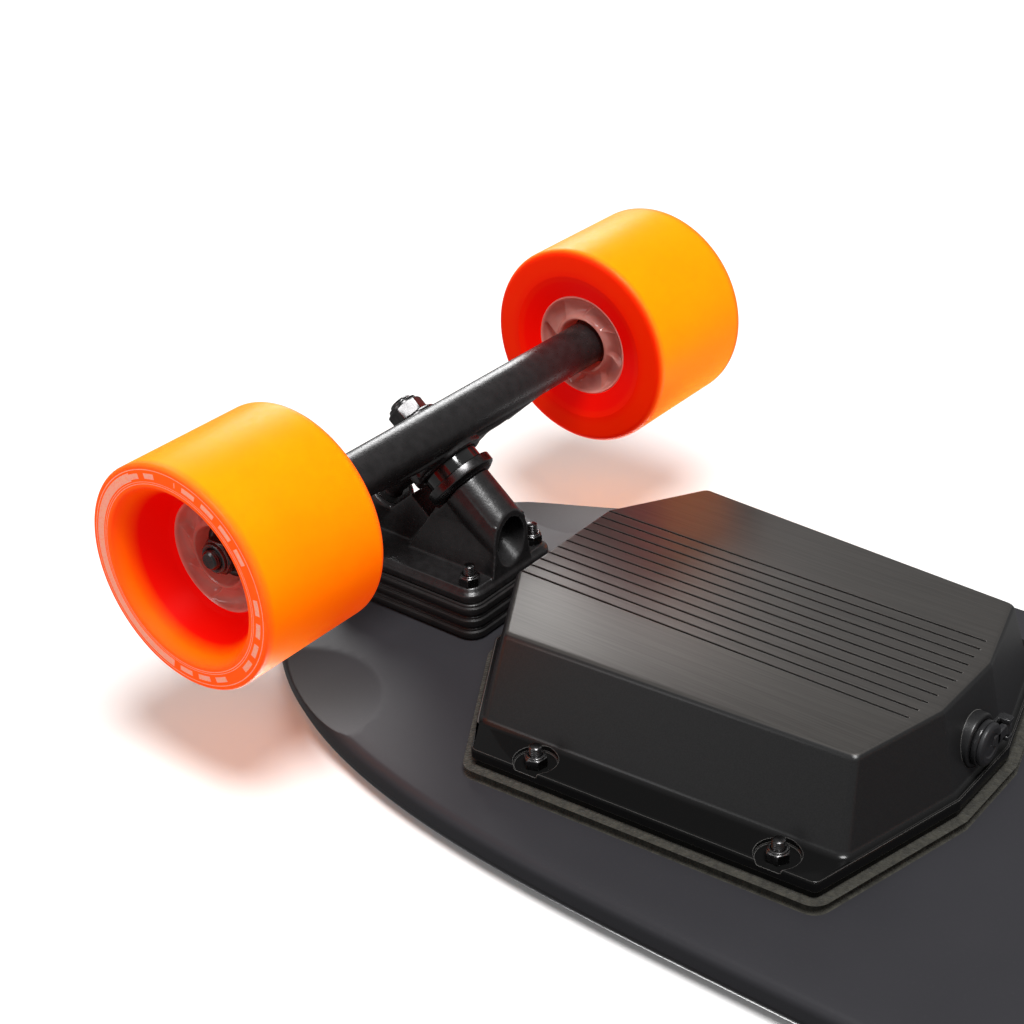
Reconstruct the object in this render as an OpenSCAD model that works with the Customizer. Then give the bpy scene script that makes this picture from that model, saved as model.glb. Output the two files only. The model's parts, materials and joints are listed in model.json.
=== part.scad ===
// Electric longboard, wheels down: deck, two reverse-kingpin trucks, two free front wheels,
// two hub-motor rear wheels, and two enclosures under the deck for the battery and the controller.
// +X is towards the nose and +Z is up. The origin is on the ground under the middle of the board.

/* [Deck] */
// Length of the deck, nose to tail
deck_len = 965; // [925:5:1005]
// Greatest width of the deck
deck_w = 252; // [246:1:258]
// Thickness of the deck at its rails
deck_t = 14; // [13.5:0.5:16]
// Distance from the tip of the nose or tail back to the axle
overhang = 72; // [66:1:78]
// Radius of the concave dished into the top of the deck
concave_r = 1500; // [1450:50:3000]
// Thickness of the grip tape
grip_t = 1; // [0.8:0.1:1.2]

/* [Wheels] */
// Rolling diameter of all four wheels
wheel_d = 90; // [88:1:92]
// Width of all four wheels
wheel_w = 62; // [61:0.5:63]
// Diameter of the moulded core inside a front tyre
core_d = 46; // [45:0.5:47]

/* [Trucks] */
// Width of the front hanger, end face to end face
hanger_w = 198; // [197:0.5:199]
// Diameter of the hanger's tube
tube_d = 19.5; // [18.5:0.5:20]
// Height of the deck's underside above the axles
axle_drop = 81; // [80:0.5:83]
// Thickness of the stack of riser pads under each truck
riser_t = 17; // [16:0.5:18]
// Angle between the steering axis and the deck
steer_angle = 50; // [50:0.5:51]

/* [Enclosures] */
// How far the battery enclosure runs inboard of the front axle
battery_reach = 236.5; // [236:0.5:246]
// How far the controller enclosure runs inboard of the rear axle
esc_reach = 206; // [200:1:216]
// Depth of both enclosures, from the deck to their lowest face
enclosure_depth = 45.3; // [45:0.1:46]
// Wall thickness of the enclosures
wall = 2.7; // [2.4:0.1:3]
// Number of grooves along the lowest face of the battery enclosure
groove_count = 11; // [5:1:11]

/* [Moving controls] */
// Travel of the power button
button_travel = 1.2; // [0.8:0.1:1.4]

/* [Hidden] */
$fn = 64;
eps = 0.01;

// Board frame
wheelbase = deck_len - 2 * overhang;
axle_z = wheel_d / 2;
rail_flat = 16;
deck_mid = deck_t - (deck_w / 2 - rail_flat) ^ 2 / (2 * concave_r);
deck_top = axle_drop + deck_mid;

// Deck outline: the half width grows from the tip over taper_len, then stays full
taper_len = 300;
tip_fullness = 3.2;
rail_round = 4;
// Shallow dome ground out of the underside over each wheel
well_r = 217.5;
well_depth = 3;
well_x = 2;
well_y = 100;

// Truck
plate_t = 6;
plate_w = 55;
plate_in = 32;
plate_out = 50;
plate_z = axle_drop - riser_t;
bolt_pitch_x = 54;
bolt_pitch_y = 41.3;
bolt_shift = 2;
axle_d = 8;
ring_drop = 15.4;
ring_r = 16.5;
ring_t = 8;
pivot_reach = 40;
pivot_r = 5;
housing_r = 11;
cup_r = 8;
kingpin_r = 5;
kingpin_hex_r = 8.25;
kingpin_end = 22;
// The hanger's ring reaches down round the boardside bushing as a collar, and its web with it
collar_s = -12;
web_s = -11;
web_half = 56;
bushing_r = 12.7;
boardside_len = 17.5;
roadside_len = 7.4;
washer_t = 1.5;
cup_washer_r = 15.5;
cup_washer_t = 2;
cup_washer_rise = 3.9;
// The top of the baseplate's tower, and the kingpin's head in its pocket
seat_s = -ring_t / 2 - boardside_len - cup_washer_t;
head_s = seat_s - 14.6;
head_t = 5.4;
pocket_r = 8.6;
tower_w = 22;

// Bolts and nuts
bolt_d = 5;
bolt_head_r = 4.7;
bolt_head_h = 3;
bolt_recess_r = 5;
bolt_fit = 0.15;
bolt_slack = 0.3;
truck_head_z = deck_top - 0.4;
enclosure_head_z = deck_top + 1.4;
nut_r = 4.6;
nut_h = 4;
nut_collar_r = 3.8;

// Wheels, measured outwards from the middle of the wheel
track_y = 119;
tyre_r = wheel_d / 2;
half_w = wheel_w / 2;
core_in = -27.9;
core_out = 11.5;
hub_r = 14.5;
blade_count = 8;
blade_t = 2.8;
rim_t = 2.8;
dish_in_r = 33;
dish_out_r = 35.6;
lip_in = 3;
lip_out = 1.4;
brg_r = 11;
brg_w = 7;
brg_gap = 10;
brg_in = -18.5;
brg_out = brg_in + brg_w + brg_gap;
run = 0.05;
press = 0.02;
ring_gap_r = 6.95;
washer_r = 5.6;
axle_nut_r = 7.5;
axle_end = track_y + 16;

// Hub motors
can_r = 36;
can_wall = 4.2;
shaft_r = 6;
mbrg_r = 12;
mbrg_w = 6;
plate_face = 29;
cover_in = 24;
stator_r = 27.5;
stator_half = 16;
winding_h = 5;
magnet_count = 14;
slot_count = 12;
screw_count = 6;
rear_hanger_w = 168;
sleeve_l = 24;
lead_r = 3;

// Enclosures, given by distance inboard of the axle
nose_e = 58.8;
nose_h = 30.2;
shoulder_e = 82.2;
shoulder_h = 68;
side_taper = 0.0648;
end_slope = 0.263;
end_h = 18;
flange_t = 7.5;
gasket_t = 4;
gasket_out = 3.5;
flange_z = axle_drop - gasket_t - flange_t;
skin_z = axle_drop - enclosure_depth;
nut_e = [111, 210];
nut_y = [87.5, 81];
esc_nut_e = [108, 180];
esc_nut_y = [87.5, 82.5];
port_z = 57;
port_r = 6;
boss_rise = 6.9;
boss_r = 10.5;
cap_hinge_y = 13;
cap_ear = 5;
cap_t = 2.2;
bezel_t = 1.6;
pin_z = 3.15;
groove_pitch = 5.8;
groove_w = 1.2;
groove_depth = 0.9;
counterbore_r = 9;
counterbore_h = 2;

// Cells
cell_d = 18.4;
cell_l = 65;
cell_pitch = 18.9;
cell_rows = 6;
cell_e = [90.5, 157];
floor_z = skin_z + wall;
power_lead_r = 2;

// Places -------------------------------------------------------------------------------------

module front() translate([wheelbase / 2, 0, axle_z]) children();
module rear() rotate([0, 0, 180]) front() children();
module both_ends() {
    front() children();
    rear() children();
}
module both_sides() {
    children();
    mirror([0, 1, 0]) children();
}
// +Z outwards along the axle, origin in the middle of the wheel; side is 1 for +Y in the end's frame
module at_wheel(side) translate([0, side * track_y, 0]) rotate([-90 * side, 0, 0]) children();
// +Z along the kingpin towards its nut, +X towards the axle, origin in the middle of the hanger's ring
module at_kingpin()
    translate([ring_drop * cos(steer_angle), 0, ring_drop * sin(steer_angle)])
        rotate([0, 180 - steer_angle, 0]) children();
// Enclosures are drawn with +X inboard
module inboard() mirror([1, 0, 0]) children();
module facing_inboard(e, z) translate([e, 0, z]) rotate([0, 90, 0]) children();

// Deck ---------------------------------------------------------------------------------------

function half_width(x) =
    let (t = min(1, (deck_len / 2 - abs(x)) / taper_len))
    deck_w / 2 * sqrt(max(0, 1 - (1 - t) ^ tip_fullness));
// Points crowd towards the tip, where the outline turns fastest
function edge_x(i, n) = deck_len / 2 - taper_len * (1 - cos(90 * i / n));
function quarter(n) = [for (i = [0:n]) [edge_x(i, n), half_width(edge_x(i, n))]];
function reversed(v) = [for (i = [len(v) - 1:-1:0]) v[i]];
function deck_outline(inset) =
    let (q = quarter(22), kx = 1 - 2 * inset / deck_len, ky = 1 - 2 * inset / deck_w)
    concat([for (p = q) [p.x * kx, p.y * ky]],
        [for (p = reversed(q)) [-p.x * kx, p.y * ky]],
        [for (p = q) if (p.y > 0) [-p.x * kx, -p.y * ky]],
        [for (p = reversed(q)) if (p.y > 0) [p.x * kx, -p.y * ky]]);

module deck_slab(inset, z0, z1)
    translate([0, 0, z0]) linear_extrude(z1 - z0) polygon(deck_outline(inset));

module concave_cylinder(raise)
    translate([0, 0, axle_z + deck_top + raise + concave_r]) rotate([0, 90, 0])
        cylinder(r = concave_r, h = deck_len + 20, center = true, $fn = 720);

module bolt_places()
    for (dx = [-0.5, 0.5], dy = [-0.5, 0.5])
        translate([bolt_shift + dx * bolt_pitch_x, dy * bolt_pitch_y, 0]) children();

module enclosure_places(es, ys)
    for (i = [0:len(es) - 1], s = [-1, 1]) translate([-es[i], s * ys[i], 0]) children();

module bolt_hole(top) {
    translate([0, 0, axle_drop - 30]) cylinder(r = bolt_d / 2 + bolt_fit, h = 60);
    translate([0, 0, top - bolt_head_h - 0.1])
        cylinder(r1 = bolt_d / 2 + bolt_fit, r2 = bolt_recess_r, h = bolt_head_h + 0.1 + eps);
    translate([0, 0, top]) cylinder(r = bolt_recess_r, h = 12);
}

module deck() color("dimgray") difference() {
    hull() {
        deck_slab(rail_round, axle_z + axle_drop, axle_z + axle_drop + deck_t);
        deck_slab(rail_round * 0.3, axle_z + axle_drop + 1.2, axle_z + axle_drop + deck_t - 1.2);
        deck_slab(0, axle_z + axle_drop + rail_round, axle_z + axle_drop + deck_t - rail_round);
    }
    concave_cylinder(0);
    both_ends() {
        bolt_places() bolt_hole(truck_head_z);
        for (s = [-1, 1]) translate([well_x, s * well_y, axle_drop + well_depth - well_r])
            sphere(r = well_r, $fn = 256);
    }
    front() enclosure_places(nut_e, nut_y) bolt_hole(enclosure_head_z);
    rear() enclosure_places(esc_nut_e, esc_nut_y) bolt_hole(enclosure_head_z);
    lead_channel(axle_z + axle_drop + 3, 5, 8);
    for (x = lead_ends()) translate([x - 9, -8, axle_z + axle_drop - 1]) cube([18, 16, 5]);
}

function lead_ends() = [wheelbase / 2 - 226, -wheelbase / 2 + 196];
module lead_channel(z, h, half)
    translate([lead_ends()[1], -half, z]) cube([lead_ends()[0] - lead_ends()[1], 2 * half, h]);

module grip_hole() translate([0, 0, deck_top - 5]) cylinder(r = bolt_recess_r, h = 14);

module grip_tape() color("black") difference() {
    intersection() {
        deck_slab(rail_round + 1.5, axle_z + axle_drop + deck_mid - 2, axle_z + axle_drop + deck_t + 4);
        difference() {
            translate([-deck_len / 2, -deck_w / 2, axle_z + axle_drop + deck_mid - 2])
                cube([deck_len, deck_w, deck_t + 10]);
            concave_cylinder(grip_t);
        }
        concave_cylinder(eps);
    }
    both_ends() bolt_places() grip_hole();
    front() enclosure_places(nut_e, nut_y) grip_hole();
    rear() enclosure_places(esc_nut_e, esc_nut_y) grip_hole();
}

// Trucks -------------------------------------------------------------------------------------

module pad_outline(grow)
    translate([(plate_out - plate_in) / 2, 0])
        square([plate_out + plate_in + 2 * grow, plate_w + 2 * grow], center = true);

module riser_pads() color("black") both_ends() difference() {
    for (i = [0:2]) {
        h = riser_t / 3;
        translate([0, 0, plate_z + i * h]) linear_extrude(h) pad_outline(0.5);
        translate([0, 0, plate_z + i * h + 1.4]) linear_extrude(h - 2.8) pad_outline(1.5);
    }
    bolt_places() translate([0, 0, plate_z - 1]) cylinder(r = bolt_d / 2 + bolt_slack, h = riser_t + 2);
    translate([-16, -12, plate_z - 1]) cube([30, 24, riser_t + 2]);
}

// A point in the plane across the board, t along the hanger's axis and s along the kingpin
function in_truck(t, s) =
    [ring_drop * cos(steer_angle) + s * sin(steer_angle) + t * cos(steer_angle),
     ring_drop * sin(steer_angle) - s * cos(steer_angle) + t * sin(steer_angle)];

module across(width, points) rotate([90, 0, 0]) linear_extrude(width, center = true) polygon(points);

module baseplates() color("gray") both_ends() difference() {
    union() {
        translate([0, 0, plate_z - plate_t]) linear_extrude(plate_t) pad_outline(0);
        // Tower, with its back cut square behind the kingpin's pocket
        across(tower_w, [in_truck(-housing_r, seat_s), in_truck(41, seat_s), [18, plate_z - 1],
            [1 - plate_in, plate_z - 1], [1 - plate_in, 32]]);
        // Saddle that rises from the tower to the pivot's housing
        across(16, [in_truck(22, seat_s), in_truck(22, -10), in_truck(46, -6), [plate_out - 12, plate_z - 1],
            [0, plate_z - 1]]);
        intersection() {
            at_kingpin() translate([-pivot_reach - 24, 0, 0]) rotate([0, 90, 0])
                cylinder(r = housing_r, h = 26);
            translate([0, -20, 0]) cube([plate_out + 8, 40, plate_z]);
        }
    }
    at_kingpin() {
        translate([0, 0, head_s - 5]) cylinder(r = kingpin_r + press, h = seat_s - head_s + 9);
        translate([0, 0, head_s - 30]) cylinder(r = pocket_r, h = 30.1);
        translate([-pivot_reach - cup_r - run, 0, 0]) rotate([0, 90, 0]) cylinder(r = cup_r + run, h = 14);
    }
    bolt_places() translate([0, 0, plate_z - 10]) cylinder(r = bolt_d / 2 + bolt_slack, h = 20);
}

module pivot_cups() color("black") both_ends() at_kingpin() difference() {
    translate([-pivot_reach - cup_r, 0, 0]) rotate([0, 90, 0]) cylinder(r = cup_r, h = 10);
    translate([-pivot_reach, 0, 0]) sphere(r = pivot_r + run);
    translate([-pivot_reach, 0, 0]) rotate([0, 90, 0]) cylinder(r = pivot_r + run, h = 8);
}

module kingpins() color("silver") both_ends() at_kingpin() {
    translate([0, 0, head_s - head_t]) cylinder(r = kingpin_r, h = kingpin_end - head_s + head_t);
    translate([0, 0, head_s - head_t]) cylinder(r = kingpin_hex_r, h = head_t, $fn = 6);
}

module kingpin_ring(s, h, r_low, r_high)
    both_ends() at_kingpin() difference() {
        translate([0, 0, s]) cylinder(r1 = r_low, r2 = r_high, h = h);
        translate([0, 0, s - 1]) cylinder(r = kingpin_r + run, h = h + 2);
    }

// Cup washer: a flat with a rim that stands up round the foot of the bushing
module boardside_washers() color("silver") {
    kingpin_ring(seat_s, cup_washer_t, cup_washer_r, cup_washer_r);
    both_ends() at_kingpin() ring(bushing_r + 0.5, cup_washer_r, seat_s + 1, cup_washer_rise + 1);
}
module boardside_bushings() color("black")
    kingpin_ring(seat_s + cup_washer_t, boardside_len, bushing_r, bushing_r);
module roadside_bushings() color("black") kingpin_ring(ring_t / 2, roadside_len, 11, 8.8);
module roadside_washers() color("silver") kingpin_ring(ring_t / 2 + roadside_len, washer_t, 10.5, 10.5);
module kingpin_nuts() color("silver") both_ends() at_kingpin() difference() {
    translate([0, 0, ring_t / 2 + roadside_len + washer_t]) {
        cylinder(r = kingpin_hex_r, h = 6, $fn = 6);
        cylinder(r = 6.6, h = 7.6);
    }
    cylinder(r = kingpin_r + run, h = 40);
}

module hanger_body(width) {
    rotate([90, 0, 0]) cylinder(d = tube_d, h = width, center = true);
    at_kingpin() {
        translate([0, 0, collar_s]) cylinder(r = ring_r, h = ring_t / 2 - collar_s);
        translate([0, 0, web_s]) linear_extrude(ring_t / 2 - 0.7 - web_s)
            polygon([[-4, -15], [-4, 15], [6, 23], [ring_drop - 2, web_half],
                [ring_drop - 2, -web_half], [6, -23]]);
        translate([-9, 0, 0]) rotate([0, -90, 0])
            cylinder(r1 = 8.4, r2 = pivot_r - 0.9, h = pivot_reach - 12);
        translate([-pivot_reach + 5, 0, 0]) rotate([0, -90, 0]) cylinder(r = pivot_r - 1, h = 5);
        translate([-pivot_reach, 0, 0]) sphere(r = pivot_r);
    }
}

// Hole for the kingpin, and a seat for each bushing
module hanger_cuts() at_kingpin() {
    cylinder(r = 7.6, h = 40, center = true);
    translate([0, 0, ring_t / 2]) cylinder(r = 12.2, h = 14);
    translate([0, 0, -ring_t / 2 - 14]) cylinder(r = bushing_r + 0.4, h = 14);
}

module front_hanger() color("dimgray") front() difference() {
    hanger_body(hanger_w);
    hanger_cuts();
    rotate([90, 0, 0]) cylinder(r = axle_d / 2 + press, h = hanger_w + 2, center = true);
}

// The thicker end of the rear hanger that grips a motor's shaft
module at_sleeve() translate([0, rear_hanger_w / 2 - sleeve_l, 0]) rotate([-90, 0, 0]) children();

module rear_hanger() color("dimgray") rear() difference() {
    union() {
        hanger_body(rear_hanger_w);
        both_sides() at_sleeve() cylinder(r = 12, h = sleeve_l);
    }
    hanger_cuts();
    both_sides() at_sleeve() cylinder(r = shaft_r + press, h = sleeve_l + 6);
}

module front_axle() color("silver") front()
    rotate([90, 0, 0]) cylinder(d = axle_d, h = 2 * axle_end, center = true);

// Front wheels -------------------------------------------------------------------------------

module ring(r_in, r_out, z, h) difference() {
    translate([0, 0, z]) cylinder(r = r_out, h = h);
    translate([0, 0, z - 1]) cylinder(r = r_in, h = h + 2);
}

module both_wheels() for (s = [-1, 1]) at_wheel(s) children();

module speed_rings() color("silver") front() both_wheels() {
    ring(axle_d / 2 + run, washer_r, hanger_w / 2 - track_y, brg_in - hanger_w / 2 + track_y);
    ring(axle_d / 2 + run, washer_r, brg_out + brg_w, washer_t);
}

module bearing_inner_rings() color("silver") front() both_wheels() {
    ring(axle_d / 2 + run, ring_gap_r, brg_in, brg_w);
    ring(axle_d / 2 + run, ring_gap_r, brg_out, brg_w);
}

module bearing_spacers() color("silver") front() both_wheels()
    ring(axle_d / 2 + run, 5.5, brg_in + brg_w, brg_gap);

module axle_nuts() color("silver") front() both_wheels() difference() {
    translate([0, 0, brg_out + brg_w + washer_t]) {
        cylinder(r = axle_nut_r, h = 5, $fn = 6);
        cylinder(r = 6.1, h = 6.8);
    }
    cylinder(r = axle_d / 2 + run, h = 30);
}

module bearing_outer(z) translate([0, 0, z]) rotate_extrude()
    polygon([[7, 0], [brg_r, 0], [brg_r, brg_w], [7, brg_w], [7, brg_w - 0.8], [9.2, brg_w - 0.8],
        [9.2, 0.8], [7, 0.8]]);

module bearings(side) color("silver") front() at_wheel(side) {
    bearing_outer(brg_in);
    bearing_outer(brg_out);
}

// Hub, rim and web, with blades between the hub and the rim
module core(side) color("pink") front() at_wheel(side) difference() {
    union() {
        translate([0, 0, core_in]) cylinder(r = hub_r, h = core_out - core_in);
        translate([0, 0, -10]) cylinder(r = core_d / 2 - 1.5, h = 4);
        ring(core_d / 2 - rim_t, core_d / 2 - 0.03, core_in, core_out - core_in);
        for (i = [0:blade_count - 1]) rotate(i * 360 / blade_count)
            translate([hub_r - 1, -blade_t / 2, core_in + 1])
                cube([core_d / 2 - hub_r - 1, blade_t, core_out - core_in - 2]);
    }
    translate([0, 0, core_in - 1]) cylinder(r = brg_r + press, h = brg_in + brg_w - core_in + 1);
    translate([0, 0, brg_out]) cylinder(r = brg_r + press, h = 20);
    translate([0, 0, core_in]) cylinder(r = 9.4, h = 40);
}

// Deep dish on the outer side and a shallow one on the inner side, with a softer lip on the inner side
module tyre(side) color("orange") front() at_wheel(side) rotate_extrude($fn = 96)
    polygon([[core_d / 2, core_in], [dish_in_r, -half_w], [tyre_r - lip_in, -half_w],
        [tyre_r - 0.3 * lip_in, 0.3 * lip_in - half_w], [tyre_r, lip_in - half_w], [tyre_r, half_w - lip_out],
        [tyre_r - 0.3 * lip_out, half_w - 0.3 * lip_out], [tyre_r - lip_out, half_w],
        [dish_out_r + 1, half_w], [dish_out_r, half_w - 0.8], [core_d / 2 + 1.2, core_out + 1.6],
        [core_d / 2, core_out]]);

module front_left_core() core(1);
module front_left_tyre() tyre(1);
module front_left_bearings() bearings(1);
module front_right_core() core(-1);
module front_right_tyre() tyre(-1);
module front_right_bearings() bearings(-1);

// Hub motors: the shaft and stator are fixed to the hanger, the can turns round them -----------

module motor_shafts() color("silver") rear() both_sides() at_sleeve()
    cylinder(r = shaft_r, h = track_y + cover_in + 1 - rear_hanger_w / 2 + sleeve_l);

module motor_spacers() color("silver") rear() both_wheels()
    ring(shaft_r + run, 8.5, rear_hanger_w / 2 - track_y, track_y - rear_hanger_w / 2 - plate_face + 0.5);

module motor_bearings() color("silver") rear() both_wheels() {
    ring(shaft_r + run, mbrg_r - 0.03, -plate_face + 0.5, mbrg_w);
    ring(shaft_r + run, mbrg_r - 0.03, cover_in - mbrg_w, mbrg_w);
}

module stators() color("gray") rear() both_wheels() difference() {
    translate([0, 0, -stator_half]) cylinder(r = stator_r, h = 2 * stator_half);
    translate([0, 0, -stator_half - 1]) cylinder(r = shaft_r + run, h = 2 * stator_half + 2);
    for (i = [0:slot_count - 1]) rotate(i * 360 / slot_count)
        translate([stator_r - 11, -1.6, -stator_half - 1]) cube([14, 3.2, 2 * stator_half + 2]);
}

module windings() color("orange") rear() both_wheels()
    for (z = [-stator_half - winding_h - 0.2, stator_half + 0.2]) translate([0, 0, z]) rotate_extrude()
        polygon([[16.5, 0], [25.5, 0], [26.5, 1.5], [26.5, 3.5], [25, winding_h], [17, winding_h]]);

module rotor(side) color("gray") rear() at_wheel(side) {
    ring(can_r - can_wall, can_r, -plate_face, plate_face + cover_in);
    difference() {
        union() {
            translate([0, 0, -plate_face]) cylinder(r = can_r - 1, h = 3);
            translate([0, 0, -plate_face]) cylinder(r = 15.2, h = mbrg_w + 0.5);
        }
        translate([0, 0, -plate_face - 1]) cylinder(r = mbrg_r, h = mbrg_w + 3);
    }
}

module magnets(side) color("silver") rear() at_wheel(side) for (i = [0:magnet_count - 1])
    rotate(i * 360 / magnet_count) translate([28.3, -5, -stator_half]) cube([2.9, 10, 2 * stator_half]);

module motor_cover(side) color("dimgray") rear() at_wheel(side) difference() {
    union() {
        translate([0, 0, cover_in + 0.02]) cylinder(r = can_r, h = 4);
        translate([0, 0, cover_in - mbrg_w]) cylinder(r = 15.2, h = mbrg_w + 1);
    }
    translate([0, 0, cover_in - mbrg_w - 1]) cylinder(r = mbrg_r, h = mbrg_w + 1.04);
    translate([0, 0, cover_in - 2]) cylinder(r = shaft_r + 0.6, h = 3.6);
    for (i = [0:screw_count - 1]) rotate((i + 0.5) * 360 / screw_count)
        translate([29, 0, cover_in + 2.5]) cylinder(r = 2.6, h = 4);
}

module sleeve(side) color("orange") rear() at_wheel(side) rotate_extrude($fn = 96)
    polygon([[can_r + 0.05, -half_w + 1.5], [can_r + 1.5, -half_w], [tyre_r - lip_in, -half_w],
        [tyre_r - 0.3 * lip_in, 0.3 * lip_in - half_w], [tyre_r, lip_in - half_w], [tyre_r, half_w - lip_in],
        [tyre_r - 0.3 * lip_in, half_w - 0.3 * lip_in], [tyre_r - lip_in, half_w], [can_r + 1.5, half_w],
        [can_r + 0.05, half_w - 1.5]]);

// Seen from the rear truck's own frame, the board's left is at its -Y
module rear_left_rotor() rotor(-1);
module rear_left_magnets() magnets(-1);
module rear_left_cover() motor_cover(-1);
module rear_left_sleeve() sleeve(-1);
module rear_right_rotor() rotor(1);
module rear_right_magnets() magnets(1);
module rear_right_cover() motor_cover(1);
module rear_right_sleeve() sleeve(1);

// A straight run of cable from near a to near b, with a round knuckle at b that the next run starts in
module limb(a, b, r) {
    d = b - a;
    h = norm(d);
    gap = 0.47 * r;
    translate(a + d * gap / h) rotate([0, acos(d.z / h), atan2(d.y, d.x)]) cylinder(r = r, h = h - 2 * gap);
    translate(b) sphere(r = 1.17 * r);
}

// The phase lead of each motor follows the hanger's tube, then crosses to the controller's nose
module motor_leads() color("black") rear() both_sides() {
    path = [[-11.5, rear_hanger_w / 2 - 26, 9], [-13, 46, 10], [-24, 30, 24], [-38, 20, 47],
        [-nose_e + 7.5, 14, port_z]];
    for (i = [0:len(path) - 2]) limb(path[i], path[i + 1], lead_r);
}

// Fasteners ----------------------------------------------------------------------------------

module bolt(top, bottom) {
    translate([0, 0, top - bolt_head_h]) cylinder(r1 = bolt_d / 2, r2 = bolt_head_r, h = bolt_head_h);
    translate([0, 0, bottom]) cylinder(r = bolt_d / 2, h = top - bottom - 1);
}

// Hexagon hanging down from z, with a lower collar
module nut(z) difference() {
    translate([0, 0, z - nut_h]) {
        cylinder(r = nut_r, h = nut_h, $fn = 6);
        translate([0, 0, -1]) cylinder(r = nut_collar_r, h = 1.2);
    }
    translate([0, 0, z - nut_h - 2]) cylinder(r = bolt_d / 2 + 0.04, h = nut_h + 4);
}

module truck_bolts() color("silver") both_ends() bolt_places() bolt(truck_head_z, plate_z - plate_t - 9);
module truck_nuts() color("silver") both_ends() bolt_places() nut(plate_z - plate_t);
module enclosure_bolts() color("silver") {
    front() enclosure_places(nut_e, nut_y) bolt(enclosure_head_z, flange_z - 6.5);
    rear() enclosure_places(esc_nut_e, esc_nut_y) bolt(enclosure_head_z, flange_z - 6.5);
}
module enclosure_nuts() color("silver") {
    front() enclosure_places(nut_e, nut_y) nut(flange_z + counterbore_h);
    rear() enclosure_places(esc_nut_e, esc_nut_y) nut(flange_z + counterbore_h);
}

// Enclosures ---------------------------------------------------------------------------------

// Plan view: a blunt nose, two angled shoulders, long sides that close in a little, and a
// three-sided inboard end. dn, ds and de move the nose, side and end lines outwards.
function plan(dn, ds, de, reach) =
    let (m = (shoulder_h - nose_h) / (shoulder_e - nose_e), mn = sqrt(1 + m * m),
        side0 = shoulder_h + side_taper * shoulder_e + ds,
        e0 = nose_e - dn, h0 = nose_h + dn * (mn - m),
        e1 = nose_e + (side0 - nose_h - side_taper * nose_e - dn * mn) / (m + side_taper),
        h1 = side0 - side_taper * e1,
        end0 = reach + de * sqrt(1 + end_slope ^ 2),
        e2 = (end0 - end_slope * (side0 - end_h)) / (1 - end_slope * side_taper),
        h2 = side0 - side_taper * e2,
        e3 = reach + de, h3 = end_h + de * (sqrt(1 + end_slope ^ 2) - 1) / end_slope)
    [[e0, -h0], [e1, -h1], [e2, -h2], [e3, -h3], [e3, h3], [e2, h2], [e1, h1], [e0, h0]];

module plan_slab(dn, ds, de, reach, z0, z1)
    translate([0, 0, z0]) linear_extrude(z1 - z0) polygon(plan(dn, ds, de, reach));

// Draft of the walls: how far their foot stands out from the lowest face
foot = [8.7, 12.5, 7];
lip = [10.6, 28.3, 9.8];

module enclosure_shell(reach, es, ys) difference() {
    union() {
        hull() {
            plan_slab(0, 0, 0, reach, skin_z, skin_z + 0.2);
            plan_slab(foot[0], foot[1], foot[2], reach, flange_z, flange_z + 0.2);
        }
        plan_slab(lip[0], lip[1], lip[2], reach, flange_z, flange_z + flange_t);
        facing_inboard(reach - 6, port_z) cylinder(r = boss_r, h = boss_rise + 6);
    }
    hull() {
        plan_slab(-wall, -wall, -wall, reach, floor_z, floor_z + 0.2);
        plan_slab(foot[0] - wall, foot[1] - wall, foot[2] - wall, reach, flange_z, flange_z + 0.2);
    }
    plan_slab(foot[0] - wall, foot[1] - wall, foot[2] - wall, reach, flange_z - eps, flange_z + flange_t + 1);
    mirror([1, 0, 0]) enclosure_places(es, ys) {
        translate([0, 0, flange_z - 1]) cylinder(r = bolt_d / 2 + bolt_slack, h = 20);
        translate([0, 0, flange_z - 1]) cylinder(r = counterbore_r, h = counterbore_h + 1);
    }
}

module gasket(reach, es, ys) difference() {
    plan_slab(lip[0] + gasket_out, lip[1] + gasket_out, lip[2] + gasket_out, reach, flange_z + flange_t,
        axle_drop);
    plan_slab(foot[0] - wall, foot[1] - wall, foot[2] - wall, reach, 0, axle_drop + 1);
    mirror([1, 0, 0]) enclosure_places(es, ys) cylinder(r = bolt_d / 2 + bolt_slack, h = 120);
}

// Grooves run out through the nose, and stop short of the inboard end in an arrow
module grooves(reach) for (i = [0:groove_count - 1]) {
    off = i - (groove_count - 1) / 2;
    translate([0, off * groove_pitch - groove_w / 2, skin_z - 1])
        cube([reach - 4.5 - abs(off) * 0.6, groove_w, groove_depth + 1]);
}
module port_bore(reach) facing_inboard(reach - 36, port_z) cylinder(r = port_r + 1.5, h = 60);

module battery_enclosure() color("dimgray") front() inboard() difference() {
    enclosure_shell(battery_reach, nut_e, nut_y);
    grooves(battery_reach);
    port_bore(battery_reach);
}
module battery_gasket() color("olive") front() inboard() gasket(battery_reach, nut_e, nut_y);

module charge_port() color("black") front() inboard() {
    face = battery_reach + boss_rise;
    difference() {
        union() {
            facing_inboard(face - 16, port_z) cylinder(r = port_r + 1.4, h = 16);
            facing_inboard(face, port_z) cylinder(r = 8.6, h = 2);
            translate([face, 0, port_z - 4.5]) cube([2, cap_hinge_y + 2.2, 9]);
        }
        facing_inboard(face - 12, port_z) ring(1.2, port_r, 0, 30);
        facing_inboard(face - 2, port_z) cylinder(r = 2, h = 10);
        translate([face + pin_z, cap_hinge_y, port_z - cap_ear / 2 - 0.15])
            cylinder(r = 2, h = cap_ear + 0.3);
    }
    // Two lugs and the pin that the cap turns on
    for (z = [port_z - 4.5, port_z + cap_ear / 2 + 0.15]) translate([face + 1, cap_hinge_y - 2, z])
        cube([4.2, 4, 4.35 - cap_ear / 2]);
    translate([face + pin_z, cap_hinge_y, port_z - 4.4]) cylinder(r = 1, h = 8.8);
}

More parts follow.
